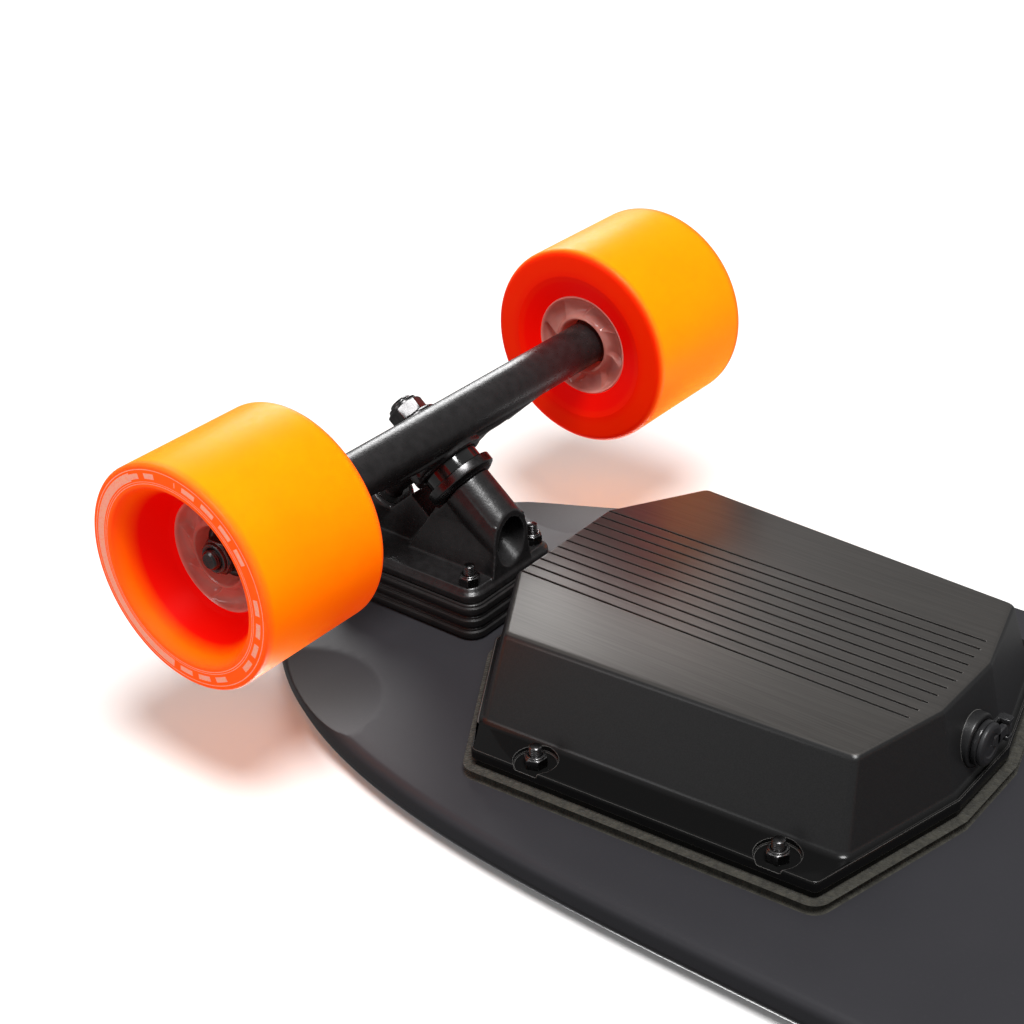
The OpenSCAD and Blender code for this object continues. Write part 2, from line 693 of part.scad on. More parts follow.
// Closed cap: a disc over the port with a short plug in its mouth and an ear to the hinge
module charge_cap() color("black") front() inboard() {
    face = battery_reach + boss_rise + 2.05;
    difference() {
        union() {
            facing_inboard(face, port_z) cylinder(r = 8.2, h = cap_t);
            facing_inboard(face - 1.8, port_z) cylinder(r = 4.6, h = cap_t);
            translate([face, 2, port_z - cap_ear / 2]) cube([cap_t, cap_hinge_y - 2, cap_ear]);
            translate([face + cap_t / 2, cap_hinge_y, port_z - cap_ear / 2]) cylinder(r = 1.9, h = cap_ear);
        }
        translate([face + cap_t / 2, cap_hinge_y, port_z - 5]) cylinder(r = 1 + run, h = 10);
    }
}

module battery_cells() color("teal") front() inboard()
    for (e = cell_e, i = [0:cell_rows - 1], j = [0, 1])
        translate([e, (i - (cell_rows - 1) / 2) * cell_pitch, floor_z + 1.2 + cell_d / 2 + j * cell_pitch])
            rotate([0, 90, 0]) cylinder(d = cell_d, h = cell_l);

module cell_straps() color("silver") front() inboard()
    for (e = [cell_e[0] - 0.5, cell_e[1] - 0.9, cell_e[1] + cell_l + 0.2], i = [0:cell_rows - 1])
        translate([e, (i - (cell_rows - 1) / 2) * cell_pitch - 4, floor_z + 4])
            cube([0.3, 8, cell_pitch + 12]);

module bms_board() color("green") front() inboard() {
    translate([64, -27, floor_z + 8]) cube([20, 54, 1.6]);
    for (i = [0:4]) translate([66, -24 + i * 10.4, floor_z + 9.6]) cube([8, 7, 2.4]);
    translate([77, -20, floor_z + 9.6]) cube([5, 40, 6]);
}

module controller_enclosure() color("dimgray") rear() inboard() difference() {
    enclosure_shell(esc_reach, esc_nut_e, esc_nut_y);
    grooves(esc_reach);
    port_bore(esc_reach);
    for (s = [-1, 1]) translate([40, s * 14, port_z]) rotate([0, 90, 0]) cylinder(r = 3.4, h = 30);
}
module controller_gasket() color("olive") rear() inboard() gasket(esc_reach, esc_nut_e, esc_nut_y);

module controller_board() color("green") rear() inboard() {
    translate([84, -40, floor_z + 11.4]) cube([96, 80, 1.6]);
    for (i = [0:5]) translate([90 + i * 14, -30, floor_z + 13]) cube([10, 15, 4.5]);
    translate([100, 6, floor_z + 13]) cube([24, 24, 3]);
    for (i = [0:2]) translate([140, 7 + i * 11, floor_z + 13]) cube([14, 8, 9]);
}
module heatsink() color("silver") rear() inboard() {
    translate([86, -38, floor_z]) cube([92, 76, 3]);
    for (i = [0:8]) translate([88, -36 + i * 8.6, floor_z + 3]) cube([88, 2.4, 8.2]);
}
module capacitors() color("darkblue") rear() inboard()
    for (i = [0:3]) translate([128, -32 + i * 11, floor_z + 24.5]) rotate([0, 90, 0]) cylinder(r = 5, h = 22);
module receiver_board() color("green") rear() inboard() {
    translate([88, 8, floor_z + 24]) cube([34, 20, 1.2]);
    translate([92, 11, floor_z + 25.2]) cube([12, 12, 2]);
}

module power_bezel() color("silver") rear() inboard() {
    facing_inboard(esc_reach + boss_rise - 16, port_z) ring(port_r + run, port_r + 1.4, 0, 16);
    facing_inboard(esc_reach + boss_rise, port_z) ring(port_r + run, 9, 0, bezel_t);
}
module power_button() color("black") rear() inboard() difference() {
    proud = bezel_t + button_travel + 0.3;
    facing_inboard(esc_reach + boss_rise - 11, port_z) cylinder(r = port_r + 0.01, h = 11 + proud);
    facing_inboard(esc_reach + boss_rise + proud - 0.6, port_z) ring(2.6, 3.2, 0, 2);
}

// Two leads from the battery through the deck to the controller
module power_lead() color("red") for (s = [-1, 1]) {
    z = axle_z + axle_drop + 5.5;
    x0 = lead_ends()[1] + 4;
    x1 = lead_ends()[0] - 4;
    translate([x0, s * 4, z]) rotate([0, 90, 0]) cylinder(r = power_lead_r, h = x1 - x0);
    for (x = [x0, x1]) {
        translate([x, s * 4, z]) sphere(r = power_lead_r);
        translate([x, s * 4, z - 9]) cylinder(r = power_lead_r, h = 9);
    }
}

deck();
grip_tape();
riser_pads();
baseplates();
pivot_cups();
kingpins();
boardside_washers();
boardside_bushings();
roadside_bushings();
roadside_washers();
kingpin_nuts();
front_hanger();
front_axle();
speed_rings();
bearing_inner_rings();
bearing_spacers();
axle_nuts();
front_left_core();
front_left_tyre();
front_left_bearings();
front_right_core();
front_right_tyre();
front_right_bearings();
rear_hanger();
motor_shafts();
motor_spacers();
motor_bearings();
stators();
windings();
rear_left_rotor();
rear_left_magnets();
rear_left_cover();
rear_left_sleeve();
rear_right_rotor();
rear_right_magnets();
rear_right_cover();
rear_right_sleeve();
motor_leads();
truck_bolts();
truck_nuts();
enclosure_bolts();
enclosure_nuts();
battery_enclosure();
battery_gasket();
battery_cells();
cell_straps();
bms_board();
charge_port();
charge_cap();
controller_enclosure();
controller_gasket();
controller_board();
heatsink();
capacitors();
receiver_board();
power_bezel();
power_button();
power_lead();
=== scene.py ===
"""Looks of an electric longboard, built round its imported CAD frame.

Shapes are drawn in millimetres, in the frame of the truck, kingpin or wheel that they belong to,
and turned into metres when they are placed.
"""

import json
import math

import bmesh
import bpy
from mathutils import Matrix, Vector, noise


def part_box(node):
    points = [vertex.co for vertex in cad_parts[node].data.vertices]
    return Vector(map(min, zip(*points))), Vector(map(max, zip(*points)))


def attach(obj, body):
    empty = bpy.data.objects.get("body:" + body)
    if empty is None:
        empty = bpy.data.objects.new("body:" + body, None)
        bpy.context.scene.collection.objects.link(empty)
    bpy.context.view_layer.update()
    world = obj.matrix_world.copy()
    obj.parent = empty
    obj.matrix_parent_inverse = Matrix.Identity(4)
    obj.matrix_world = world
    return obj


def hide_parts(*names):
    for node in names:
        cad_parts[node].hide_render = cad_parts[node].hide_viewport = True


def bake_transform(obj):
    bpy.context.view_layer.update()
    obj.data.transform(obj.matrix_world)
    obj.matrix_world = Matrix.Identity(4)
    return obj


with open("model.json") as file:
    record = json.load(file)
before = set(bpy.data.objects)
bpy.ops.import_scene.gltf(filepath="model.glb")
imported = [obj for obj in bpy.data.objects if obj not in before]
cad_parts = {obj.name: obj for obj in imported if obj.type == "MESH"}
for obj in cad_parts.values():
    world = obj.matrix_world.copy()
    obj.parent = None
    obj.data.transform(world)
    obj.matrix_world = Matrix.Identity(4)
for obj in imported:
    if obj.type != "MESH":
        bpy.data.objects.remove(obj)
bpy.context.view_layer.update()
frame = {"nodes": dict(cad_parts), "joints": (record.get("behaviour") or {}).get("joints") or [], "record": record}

MM = 0.001
TURN = 2 * math.pi


# Places, read from the frame, but for the flange's given thickness

def span(node):
    """Lowest and highest corner of a CAD node, in millimetres."""
    return [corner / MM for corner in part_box(node)]


def middle(node):
    low, high = span(node)
    return (low + high) / 2


def joint(name):
    return next(j for j in frame["joints"] if j["name"] == name)


def half(node, axis):
    """Half of a CAD node's size along axis 0, 1 or 2."""
    low, high = span(node)
    return (high[axis] - low[axis]) / 2


def low_of(node):
    """Height of a CAD node's lowest point above the axles."""
    return span(node)[0].z - AXLE.z


def moved(x, y, z):
    return Matrix.Translation((x, y, z))


def spun(angle, axis):
    return Matrix.Rotation(angle, 4, axis)


AXLE = middle("front_axle")
FRONT = Matrix.Translation(AXLE)
REAR = spun(math.pi, "Z") @ FRONT
ENDS = {"front": FRONT, "rear": REAR}

TYRE_R, HALF_W = half("front_left_tyre", 2), half("front_left_tyre", 1)
TRACK = middle("front_left_tyre").y
CORE_R = half("front_left_core", 2)
CORE_IN, CORE_OUT = [corner.y - TRACK for corner in span("front_left_core")]
HANGER_HALF = span("front_hanger")[1].y
AXLE_HALF, AXLE_R = span("front_axle")[1].y, half("front_axle", 2)

DECK_LOW, DECK_HIGH = span("deck")
DECK_T = DECK_HIGH.z - DECK_LOW.z
DECK_MID = span("grip_tape")[0].z - DECK_LOW.z
UNDERSIDE, PLATE_Z = low_of("deck"), low_of("riser_pads")
ENCLOSURE_LOW, GASKET_LOW = low_of("battery_enclosure"), low_of("battery_gasket")
FLANGE_T = 7.5
FLANGE_LOW = GASKET_LOW - FLANGE_T

STEER_AXIS = Vector(joint("front_steer")["axis"])
RING = Vector(joint("front_steer")["pos_m"]) / MM - AXLE


def kingpin_frame():
    """Local Z runs along the kingpin to its nut, and local X from the pivot towards the axle."""
    x = -STEER_AXIS
    y = Vector((0, 1, 0))
    z = x.cross(y)
    turn = Matrix((x, y, z)).transposed().to_4x4()
    return Matrix.Translation(RING) @ turn


KINGPIN = kingpin_frame()


def pin_span(node):
    """Lowest and highest point of a CAD node along the front kingpin."""
    back = (FRONT @ KINGPIN).inverted()
    heights = [(back @ (v.co / MM)).z for v in frame["nodes"][node].data.vertices if v.co.x > 0]
    return min(heights), max(heights)


SEAT, CUP_TOP = pin_span("boardside_washers")
CONE_LOW, CONE_TOP = pin_span("roadside_bushings")
CAP_TOP = pin_span("roadside_washers")[1]
NUT_TOP = pin_span("kingpin_nuts")[1]
PIN_LOW, PIN_TOP = pin_span("kingpins")


def at_wheel(side):
    """Local Z runs outwards along the axle, from the middle of the wheel."""
    return moved(0, side * TRACK, 0) @ spun(-side * math.pi / 2, "X")


# Meshes

class Shape:
    """Points and faces of one piece, gathered from closed surfaces."""

    def __init__(self):
        self.points, self.faces, self.slots = [], [], []

    def rings(self, rings, slot=0, loop=False):
        """Joins equal rings of points. The two end rings are capped, or joined when loop is set."""
        start, n, m = len(self.points), len(rings[0]), len(rings)
        slots = slot if isinstance(slot, list) else [slot] * m
        for ring in rings:
            self.points.extend(Vector(p) for p in ring)
        for j in range(m if loop else m - 1):
            near, far = start + j * n, start + (j + 1) % m * n
            for i in range(n):
                h = (i + 1) % n
                self.faces.append([near + i, near + h, far + h, far + i])
                self.slots.append(slots[j])
        if not loop:
            for j in (0, m - 1):
                self.faces.append([start + j * n + i for i in range(n)])
                self.slots.append(slots[max(0, j - 1)])
        return self

    def add(self, other, matrix=Matrix()):
        start = len(self.points)
        self.points.extend(matrix @ p for p in other.points)
        self.faces.extend([start + i for i in face] for face in other.faces)
        self.slots.extend(other.slots)
        return self


def turned(levels, n=64, slot=0, loop=False):
    """Rings round local Z. Each level is a height and a radius, or a function from angle to radius."""
    rings = []
    for radius, z in levels:
        ring = []
        for i in range(n):
            a = TURN * i / n
            r = radius(a) if callable(radius) else radius
            ring.append((r * math.cos(a), r * math.sin(a), z))
        rings.append(ring)
    return Shape().rings(rings, slot, loop)


def fillet(corners, radius, steps=4):
    """Rounds the corners of a closed outline. radius is one number, or one for each corner."""
    radii = radius if isinstance(radius, list) else [radius] * len(corners)
    out = []
    for i, (corner, r) in enumerate(zip(corners, radii)):
        p = Vector(corner)
        a = Vector(corners[i - 1]) - p
        b = Vector(corners[(i + 1) % len(corners)]) - p
        half = a.angle(b) / 2
        reach = min(r / math.tan(half), 0.49 * a.length, 0.49 * b.length)
        a.normalize()
        b.normalize()
        centre = p + (a + b).normalized() * reach / math.cos(half)
        size = reach * math.tan(half)
        start, end = p + a * reach - centre, p + b * reach - centre
        out.extend(centre + size * start.slerp(end, k / steps) for k in range(steps + 1))
    return out


def lathe(corners, radius=0.4, n=96, slot=0, steps=4):
    """A closed profile of (radius, height) corners, rounded and turned round local Z."""
    return turned([tuple(p) for p in fillet(corners, radius, steps)], n, slot, loop=True)


def washer(r_in, r_out, low, high, soft=0.3, n=64):
    return lathe([(r_in, low), (r_out, low), (r_out, high), (r_in, high)], soft, n)


def loft(outlines):
    """Each outline is a list of (x, y) points with its height."""
    return Shape().rings([[(p[0], p[1], z) for p in points] for points, z in outlines])


def rounded_box(length, width, radius, cx=0, cy=0, steps=5):
    x, y = length / 2, width / 2
    corners = [(cx - x, cy - y), (cx + x, cy - y), (cx + x, cy + y), (cx - x, cy + y)]
    return fillet(corners, radius, steps)


def hexagon(corner_r, limit=1e9):
    """Radius of a hexagon at an angle, cut off at a circle."""
    flat = corner_r * math.cos(math.pi / 6)
    return lambda a: min(limit, flat / math.cos(a % (math.pi / 3) - math.pi / 6))


def thread(radius, low, high, pitch=0.8, depth=0.4, n=32, steps=4):
    """Levels of a screwed rod, with one helical groove."""
    count = max(2, int((high - low) / pitch * steps))
    levels = []
    for j in range(count + 1):
        z = low + (high - low) * j / count
        levels.append((lambda a, z=z: radius - depth * abs(2 * ((z / pitch - a / TURN) % 1) - 1), z))
    return levels


def lock_nut(corner_r, height, collar, top, bore):
    """Hexagon with chamfered corners, a round collar and a nylon ring in it (slot 1)."""
    chamfer = 0.9 * corner_r
    levels = [(bore, 0), (hexagon(corner_r, chamfer), 0), (hexagon(corner_r, 0.97 * corner_r), 0.3),
              (hexagon(corner_r), 0.7), (hexagon(corner_r), height - 0.7),
              (hexagon(corner_r, 0.97 * corner_r), height - 0.3), (hexagon(corner_r, chamfer), height),
              (collar, height + 0.1), (collar, top - 0.7), (collar - 0.25, top - 0.2), (collar - 0.8, top),
              (collar - 1.2, top - 0.25), (bore + 0.4, top - 0.3), (bore, top - 0.7)]
    slots = [0] * (len(levels) - 4) + [0, 1, 1, 0]
    return turned(levels, 72, slots, loop=True)


def mesh_of(shape):
    """A mesh in millimetres, with its normals outwards."""
    mesh = bpy.data.meshes.new("shape")
    mesh.from_pydata(shape.points, [], shape.faces)
    for polygon, slot in zip(mesh.polygons, shape.slots):
        polygon.material_index = slot
    work = bmesh.new()
    work.from_mesh(mesh)
    bmesh.ops.remove_doubles(work, verts=work.verts, dist=0.002)
    bmesh.ops.recalc_face_normals(work, faces=work.faces)
    work.to_mesh(mesh)
    work.free()
    return mesh


def worked(mesh, *modifiers):
    """The mesh after modifiers, each given as a type and its settings."""
    obj = bpy.data.objects.new("work", mesh)
    bpy.context.scene.collection.objects.link(obj)
    for _ in range(max(polygon.material_index for polygon in mesh.polygons) + 1):
        mesh.materials.append(None)
    for kind, settings in modifiers:
        modifier = obj.modifiers.new(kind, kind)
        for key, value in settings.items():
            setattr(modifier, key, value)
    done = obj.evaluated_get(bpy.context.evaluated_depsgraph_get())
    result = bpy.data.meshes.new_from_object(done)
    bpy.data.objects.remove(obj)
    result.materials.clear()
    return result


def carved(mesh, tool, operation="DIFFERENCE"):
    """The mesh with another shape cut away from it, or joined to it."""
    cutter = bpy.data.objects.new("cutter", mesh_of(tool) if isinstance(tool, Shape) else tool)
    for _ in range(2):
        cutter.data.materials.append(None)
    bpy.context.scene.collection.objects.link(cutter)
    result = worked(mesh, ("BOOLEAN", {"object": cutter, "operation": operation, "solver": "EXACT"}))
    bpy.data.objects.remove(cutter)
    return result


def cast(mesh, voxel=0.6, passes=6):
    """Fuses overlapping solids and softens their edges, as a sand casting has them."""
    return worked(mesh, ("REMESH", {"mode": "VOXEL", "voxel_size": voxel}),
                  ("SMOOTH", {"factor": 0.5, "iterations": passes}))


def cad_copy(node, where):
    """A CAD node's mesh in millimetres in a local frame, keeping the solids on that frame's own end."""
    back = where.inverted()
    keep_sign = 1 if where.translation.x > 0 else -1
    source = frame["nodes"][node].data
    shape = Shape()
    shape.points = [back @ (v.co / MM) for v in source.vertices]
    for polygon in source.polygons:
        if source.vertices[polygon.vertices[0]].co.x * keep_sign > 0:
            shape.faces.append(list(polygon.vertices))
            shape.slots.append(0)
    return shape


def piece(name, mesh, where, body, slot, node=None, looks=None, crease=35):
    """Turns a shape or a mesh in millimetres into a named object that rides on a body and stands for a
    CAD node. looks names its materials, where one isn't enough or isn't its slot's."""
    if isinstance(mesh, Shape):
        mesh = mesh_of(mesh)
    mesh.name = name
    mesh.transform(Matrix.Scale(MM, 4))
    for look in looks or [slot]:
        mesh.materials.append(MATERIALS[look])
    loose = bmesh.new()
    loose.from_mesh(mesh)
    bmesh.ops.delete(loose, geom=[v for v in loose.verts if not v.link_faces], context="VERTS")
    loose.to_mesh(mesh)
    loose.free()
    mesh.shade_smooth()
    mesh.set_sharp_from_angle(angle=math.radians(crease))
    obj = bpy.data.objects.new(name, mesh)
    bpy.context.scene.collection.objects.link(obj)
    place = where.copy()
    place.translation *= MM
    obj.matrix_world = place
    if body:
        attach(obj, body)
    if node:
        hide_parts(node)
    return obj


# Materials

class Surface:
    """A node material. Sizes of noise are in marks per metre, and depths in metres."""

    def __init__(self, name):
        self.material = bpy.data.materials.new(name)
        self.material.use_nodes = True
        self.nodes = self.material.node_tree.nodes
        self.links = self.material.node_tree.links
        self.bsdf = self.nodes["Principled BSDF"]
        self.place = self.add("ShaderNodeTexCoord").outputs["Object"]

    def feed(self, socket, value):
        if isinstance(value, bpy.types.NodeSocket):
            self.links.new(value, socket)
        elif isinstance(value, tuple) and len(value) == 3 and len(socket.default_value) == 4:
            socket.default_value = (*value, 1)
        else:
            socket.default_value = value

    def add(self, kind, inputs=None, **settings):
        node = self.nodes.new(kind)
        for key, value in settings.items():
            setattr(node, key, value)
        for key, value in (inputs or {}).items():
            self.feed(node.inputs[key], value)
        return node

    def set(self, **inputs):
        """Sets inputs of the shader, with _ for a space in each name."""
        for key, value in inputs.items():
            self.feed(self.bsdf.inputs[key.replace("_", " ")], value)

    def math(self, operation, a, b=0.0):
        return self.add("ShaderNodeMath", {0: a, 1: b}, operation=operation).outputs[0]

    def times(self, a, b):
        return self.math("MULTIPLY", a, b)

    def stretched(self, x, y, z):
        return self.add("ShaderNodeMapping", {"Vector": self.place, "Scale": (x, y, z)}).outputs[0]

    def noise(self, scale, detail=3.0, place=None):
        inputs = {"Vector": place or self.place, "Scale": scale, "Detail": detail}
        return self.add("ShaderNodeTexNoise", inputs).outputs["Fac"]

    def spread(self, value, low, high, to_low=0.0, to_high=1.0):
        """Maps low..high to to_low..to_high, and holds the value outside them."""
        inputs = {"Value": value, "From Min": low, "From Max": high, "To Min": to_low, "To Max": to_high}
        return self.add("ShaderNodeMapRange", inputs).outputs[0]

    def mix(self, share, a, b):
        node = self.add("ShaderNodeMix", data_type="RGBA")
        for socket, value in ((node.inputs[0], share), (node.inputs[6], a), (node.inputs[7], b)):
            self.feed(socket, value)
        return node.outputs[2]

    def speckle(self, scale, low, high, detail=3.0):
        """Noise between two values."""
        return self.spread(self.noise(scale, detail), 0.3, 0.7, low, high)

    def clouds(self, scale, a, b, detail=3.0):
        """Noise between two colours."""
        return self.mix(self.speckle(scale, 0.0, 1.0, detail), a, b)

    def bump(self, height, depth, normal=None):
        inputs = {"Height": height, "Distance": depth, "Strength": 1.0}
        if normal:
            inputs["Normal"] = normal
        return self.add("ShaderNodeBump", inputs).outputs[0]

    def edges(self, radius=0.0005):
        """The shading normal with soft edges, and a mask of where the edges are."""
        soft = self.add("ShaderNodeBevel", {"Radius": radius}, samples=4).outputs[0]
        true = self.add("ShaderNodeNewGeometry").outputs["Normal"]
        dot = self.add("ShaderNodeVectorMath", {0: soft, 1: true}, operation="DOT_PRODUCT")
        return soft, self.spread(dot.outputs["Value"], 0.995, 0.85)

    def axes(self):
        return self.add("ShaderNodeSeparateXYZ", {"Vector": self.place}).outputs

    def off_axis(self, x, y):
        """Distance from local Z."""
        squares = [self.times(v, v) for v in (x, y)]
        return self.math("SQRT", self.math("ADD", *squares))


def plain(name, colour, rough, metal=0.0, mottle=60, grain=900, depth=0.00002, wear=0.0, soft=0.0005,
          **more):
    """Paint, rubber or metal with uneven colour, a fine grain, and lighter edges: wear and a painted highlight."""
    s = Surface(name)
    normal, edge = s.edges(soft)
    dark = tuple(0.8 * c for c in colour)
    light = tuple(min(1, 1.2 * c + 0.004) for c in colour)
    # Lighter edge colour: partly wear, partly a painted highlight along the edges.
    worn = tuple(c + (0.45 - c) * wear for c in colour)
    shade = s.mix(edge, s.clouds(mottle, dark, light), worn)
    s.set(Base_Color=shade, Metallic=metal, Normal=s.bump(s.noise(grain, 4), depth, normal))
    s.set(Roughness=s.speckle(mottle * 4, rough * 0.85, rough * 1.15), **more)
    return s.material


def deck_paint():
    """Satin charcoal paint, with a faint cloudiness, a fine skin and a painted highlight on its edges."""
    s = Surface("deck_paint")
    normal, edge = s.edges(0.0008)
    fine = s.noise(2600, 3)
    shade = s.clouds(9, (0.029, 0.0285, 0.0325), (0.035, 0.0345, 0.039))
    shade = s.mix(s.spread(s.noise(700, 2), 0.6, 0.75, 0.0, 0.35), shade, (0.042, 0.041, 0.046))
    # Painted highlight: lighter colour along the edges.
    shade = s.mix(s.times(edge, 0.35), shade, (0.09, 0.088, 0.095))
    s.set(Base_Color=shade, Roughness=s.spread(fine, 0.3, 0.7, 0.40, 0.50))
    s.set(Normal=s.bump(fine, 0.00001, normal), Specular_IOR_Level=0.18)
    return s.material


def grip_sheet():
    """Black emery: sharp grains, a few of them with a painted glint."""
    s = Surface("grip")
    grit = s.add("ShaderNodeTexVoronoi", {"Vector": s.place, "Scale": 1900.0}).outputs
    height = s.spread(grit["Distance"], 0.0, 0.6, 1.0, 0.0)
    # Painted glint: a few grains get a light grey colour, with less roughness.
    sparkle = s.spread(s.add("ShaderNodeSeparateColor", {"Color": grit["Color"]}).outputs[0], 0.93, 1.0)
    shade = s.mix(s.noise(40), (0.012, 0.012, 0.012), (0.026, 0.026, 0.027))
    s.set(Base_Color=s.mix(sparkle, shade, (0.3, 0.3, 0.31)), Normal=s.bump(height, 0.00018))
    s.set(Roughness=s.spread(sparkle, 0.0, 1.0, 0.85, 0.25))
    return s.material


def brushed_skin():
    """Dark enclosure: drawn lengthwise on its lowest face, satin on its walls, glossy on its flange."""
    s = Surface("enclosure_black")
    normal, edge = s.edges(0.0004)
    z = s.axes()[2]
    flat = s.spread(z, (ENCLOSURE_LOW + 0.6) * MM, (ENCLOSURE_LOW + 0.3) * MM)
    gloss = s.spread(z, (FLANGE_LOW - 1.5) * MM, (FLANGE_LOW - 0.1) * MM)
    lines = s.noise(1500, 4, s.stretched(0.02, 1, 1))
    skin = s.noise(2200, 3)
    brushed = s.mix(s.spread(lines, 0.3, 0.7), (0.080, 0.075, 0.071), (0.104, 0.098, 0.092))
    wall = s.mix(s.spread(skin, 0.35, 0.65), (0.0105, 0.0105, 0.011), (0.017, 0.017, 0.0175))
    wall = s.mix(gloss, wall, (0.006, 0.006, 0.006))
    shade = s.mix(flat, wall, brushed)
    # Painted highlight: lighter colour along the edges.
    shade = s.mix(s.times(edge, 0.6), shade, (0.26, 0.25, 0.24))
    rough = s.mix(flat, s.mix(gloss, (0.34, 0.34, 0.34), (0.14, 0.14, 0.14)), (0.33, 0.33, 0.33))
    shine = s.mix(gloss, (0.45, 0.45, 0.45), (0.16, 0.16, 0.16))
    s.set(Base_Color=shade, Metallic=s.times(flat, 0.65), Roughness=rough)
    s.set(Normal=s.bump(s.mix(flat, skin, lines), 0.00001, normal), Specular_IOR_Level=shine)
    return s.material


def cast_paint():
    """Satin black over cast metal: pitted skin, with a painted highlight where edges stand out."""
    s = Surface("cast_black")
    out = s.add("ShaderNodeNewGeometry").outputs["Pointiness"]
    edge = s.spread(out, 0.515, 0.56)
    skin = s.noise(1100, 5)
    coarse = s.noise(260, 3)
    shade = s.mix(s.spread(coarse, 0.3, 0.7), (0.0105, 0.010, 0.0102), (0.019, 0.018, 0.0185))
    # Painted highlight: lighter colour where the edges stand out.
    shade = s.mix(s.times(edge, 0.5), shade, (0.08, 0.078, 0.08))
    lift = s.bump(skin, 0.00004, s.bump(coarse, 0.0001))
    s.set(Base_Color=shade, Roughness=s.spread(skin, 0.3, 0.7, 0.25, 0.37), Normal=lift)
    return s.material


def urethane():
    """Neon orange, reddened by painted shade on its faces and dishes and by a painted red glow; a plain printed
    ring on the outer face.
    """
    s = Surface("urethane_orange")
    x, y, z = s.axes()
    r = s.off_axis(x, y)
    angle = s.math("ARCTAN2", y, x)
    shaded_dish = s.spread(r, 0.0365, 0.030)

    def between(value, low, high):
        above = s.math("GREATER_THAN", value, low)
        return s.times(above, s.math("LESS_THAN", value, high))

    # The print: radii in metres, angles in radians.
    outer_face = s.math("GREATER_THAN", z, (HALF_W - 0.25) * MM)
    arc = between(angle, -1.1, 1.35)
    band = s.times(arc, between(r, 0.0388, 0.0420))
    dash = s.math("GREATER_THAN", s.math("SINE", s.times(angle, 26.0)), -0.45)
    gap = s.math("GREATER_THAN", s.math("SINE", s.times(angle, 5.0)), -0.8)
    dashes = s.times(s.times(dash, gap), between(r, 0.0393, 0.0414))
    dashes = s.times(dashes, s.math("SUBTRACT", 1.0, arc))
    rings = s.math("ADD", between(r, 0.0427, 0.0430), between(r, 0.0372, 0.03745))
    rings = s.math("ADD", rings, between(r, 0.0380, 0.0382))
    ink = s.math("MAXIMUM", rings, s.math("MAXIMUM", band, dashes))
    worn = s.spread(s.noise(1500, 4), 0.35, 0.5, 0.7, 1.0)
    ink = s.times(s.times(ink, outer_face), worn)

    cloud = s.spread(s.noise(35), 0.3, 0.7)
    body = s.mix(cloud, (0.95, 0.33, 0.0), (1.0, 0.36, 0.0))
    # Painted shade: the flat faces, the inner face and the dishes are painted deeper red than the tread, as if
    # less lit.
    shaded_faces = s.spread(s.math("ABSOLUTE", z), (HALF_W - 4) * MM, (HALF_W - 0.5) * MM)
    body = s.mix(shaded_faces, body, (0.95, 0.17, 0.015))
    inside = s.spread(z, (2 - HALF_W) * MM, (0.3 - HALF_W) * MM)
    body = s.mix(inside, body, (0.72, 0.025, 0.0))
    shade = s.mix(shaded_dish, body, (0.62, 0.004, 0.0))
    shade = s.mix(ink, shade, (0.95, 0.45, 0.33))
    # Painted glow: red emission over the whole wheel and its print, though the wheel is no lamp.
    glow = s.mix(shaded_dish, s.mix(inside, (0.7, 0.022, 0.0), (0.42, 0.002, 0.0)), (0.46, 0.0, 0.0))
    glow = s.mix(ink, glow, (0.45, 0.13, 0.08))
    s.set(Base_Color=shade, Emission_Color=glow, Emission_Strength=0.9, Specular_IOR_Level=0.08)
    s.set(Subsurface_Weight=0.35, Subsurface_Radius=(0.005, 0.0008, 0.0001), Subsurface_Scale=1.0)
    s.set(Roughness=s.speckle(500, 0.34, 0.46, 4), IOR=1.5)
    s.set(Normal=s.bump(s.noise(1200, 3), 0.00001))
    return s.material


def clear_core():
    """Smoky pink plastic, with a painted light that makes it paler near its rim, and a faint painted glow."""
    s = Surface("core_clear")
    r = s.off_axis(*s.axes()[:2])
    # Painted light: paler near the rim, as if lit through the orange wheel round it.
    painted_rim_light = s.spread(r, (CORE_R - 1.6) * MM, (CORE_R - 0.4) * MM)
    shade = s.clouds(90, (0.46, 0.20, 0.17), (0.62, 0.31, 0.26), 2)
    shade = s.mix(painted_rim_light, shade, (0.92, 0.42, 0.36))
    s.set(Base_Color=shade, Transmission_Weight=0.25, Subsurface_Weight=0.4, IOR=1.45)
    s.set(Subsurface_Radius=(0.003, 0.0015, 0.001), Subsurface_Scale=1.0)
    # Painted glow: a faint red emission, though the core is no lamp.
    s.set(Emission_Color=(0.5, 0.05, 0.03), Emission_Strength=0.12)
    s.set(Roughness=s.speckle(700, 0.12, 0.2), Normal=s.bump(s.noise(150, 2), 0.0001))
    return s.material


def foam():
    s = Surface("gasket_foam")
    cells = s.add("ShaderNodeTexVoronoi", {"Vector": s.place, "Scale": 900.0}).outputs["Distance"]
    coarse = s.noise(500, 5)
    shade = s.mix(s.spread(coarse, 0.3, 0.7), (0.014, 0.013, 0.009), (0.044, 0.041, 0.030))
    s.set(Base_Color=shade, Roughness=0.85, Normal=s.bump(cells, 0.0004, s.bump(coarse, 0.0005)))
    s.set(Sheen_Weight=0.2)
    return s.material


def braid():
    """Woven sleeve over a cable: two crossed sets of strands."""
    s = Surface("cable_sleeve")
    wave = {"Vector": s.place, "Scale": 420.0, "Distortion": 0.0}
    one = s.add("ShaderNodeTexWave", wave, bands_direction="DIAGONAL").outputs["Fac"]
    two = s.add("ShaderNodeTexWave", dict(wave, Vector=s.stretched(-1, 1, 1)), bands_direction="DIAGONAL")
    weave = s.times(one, two.outputs["Fac"])
    s.set(Base_Color=s.mix(weave, (0.008, 0.008, 0.008), (0.05, 0.05, 0.052)), Roughness=0.6)
    s.set(Normal=s.bump(weave, 0.0003), Sheen_Weight=0.3)
    return s.material


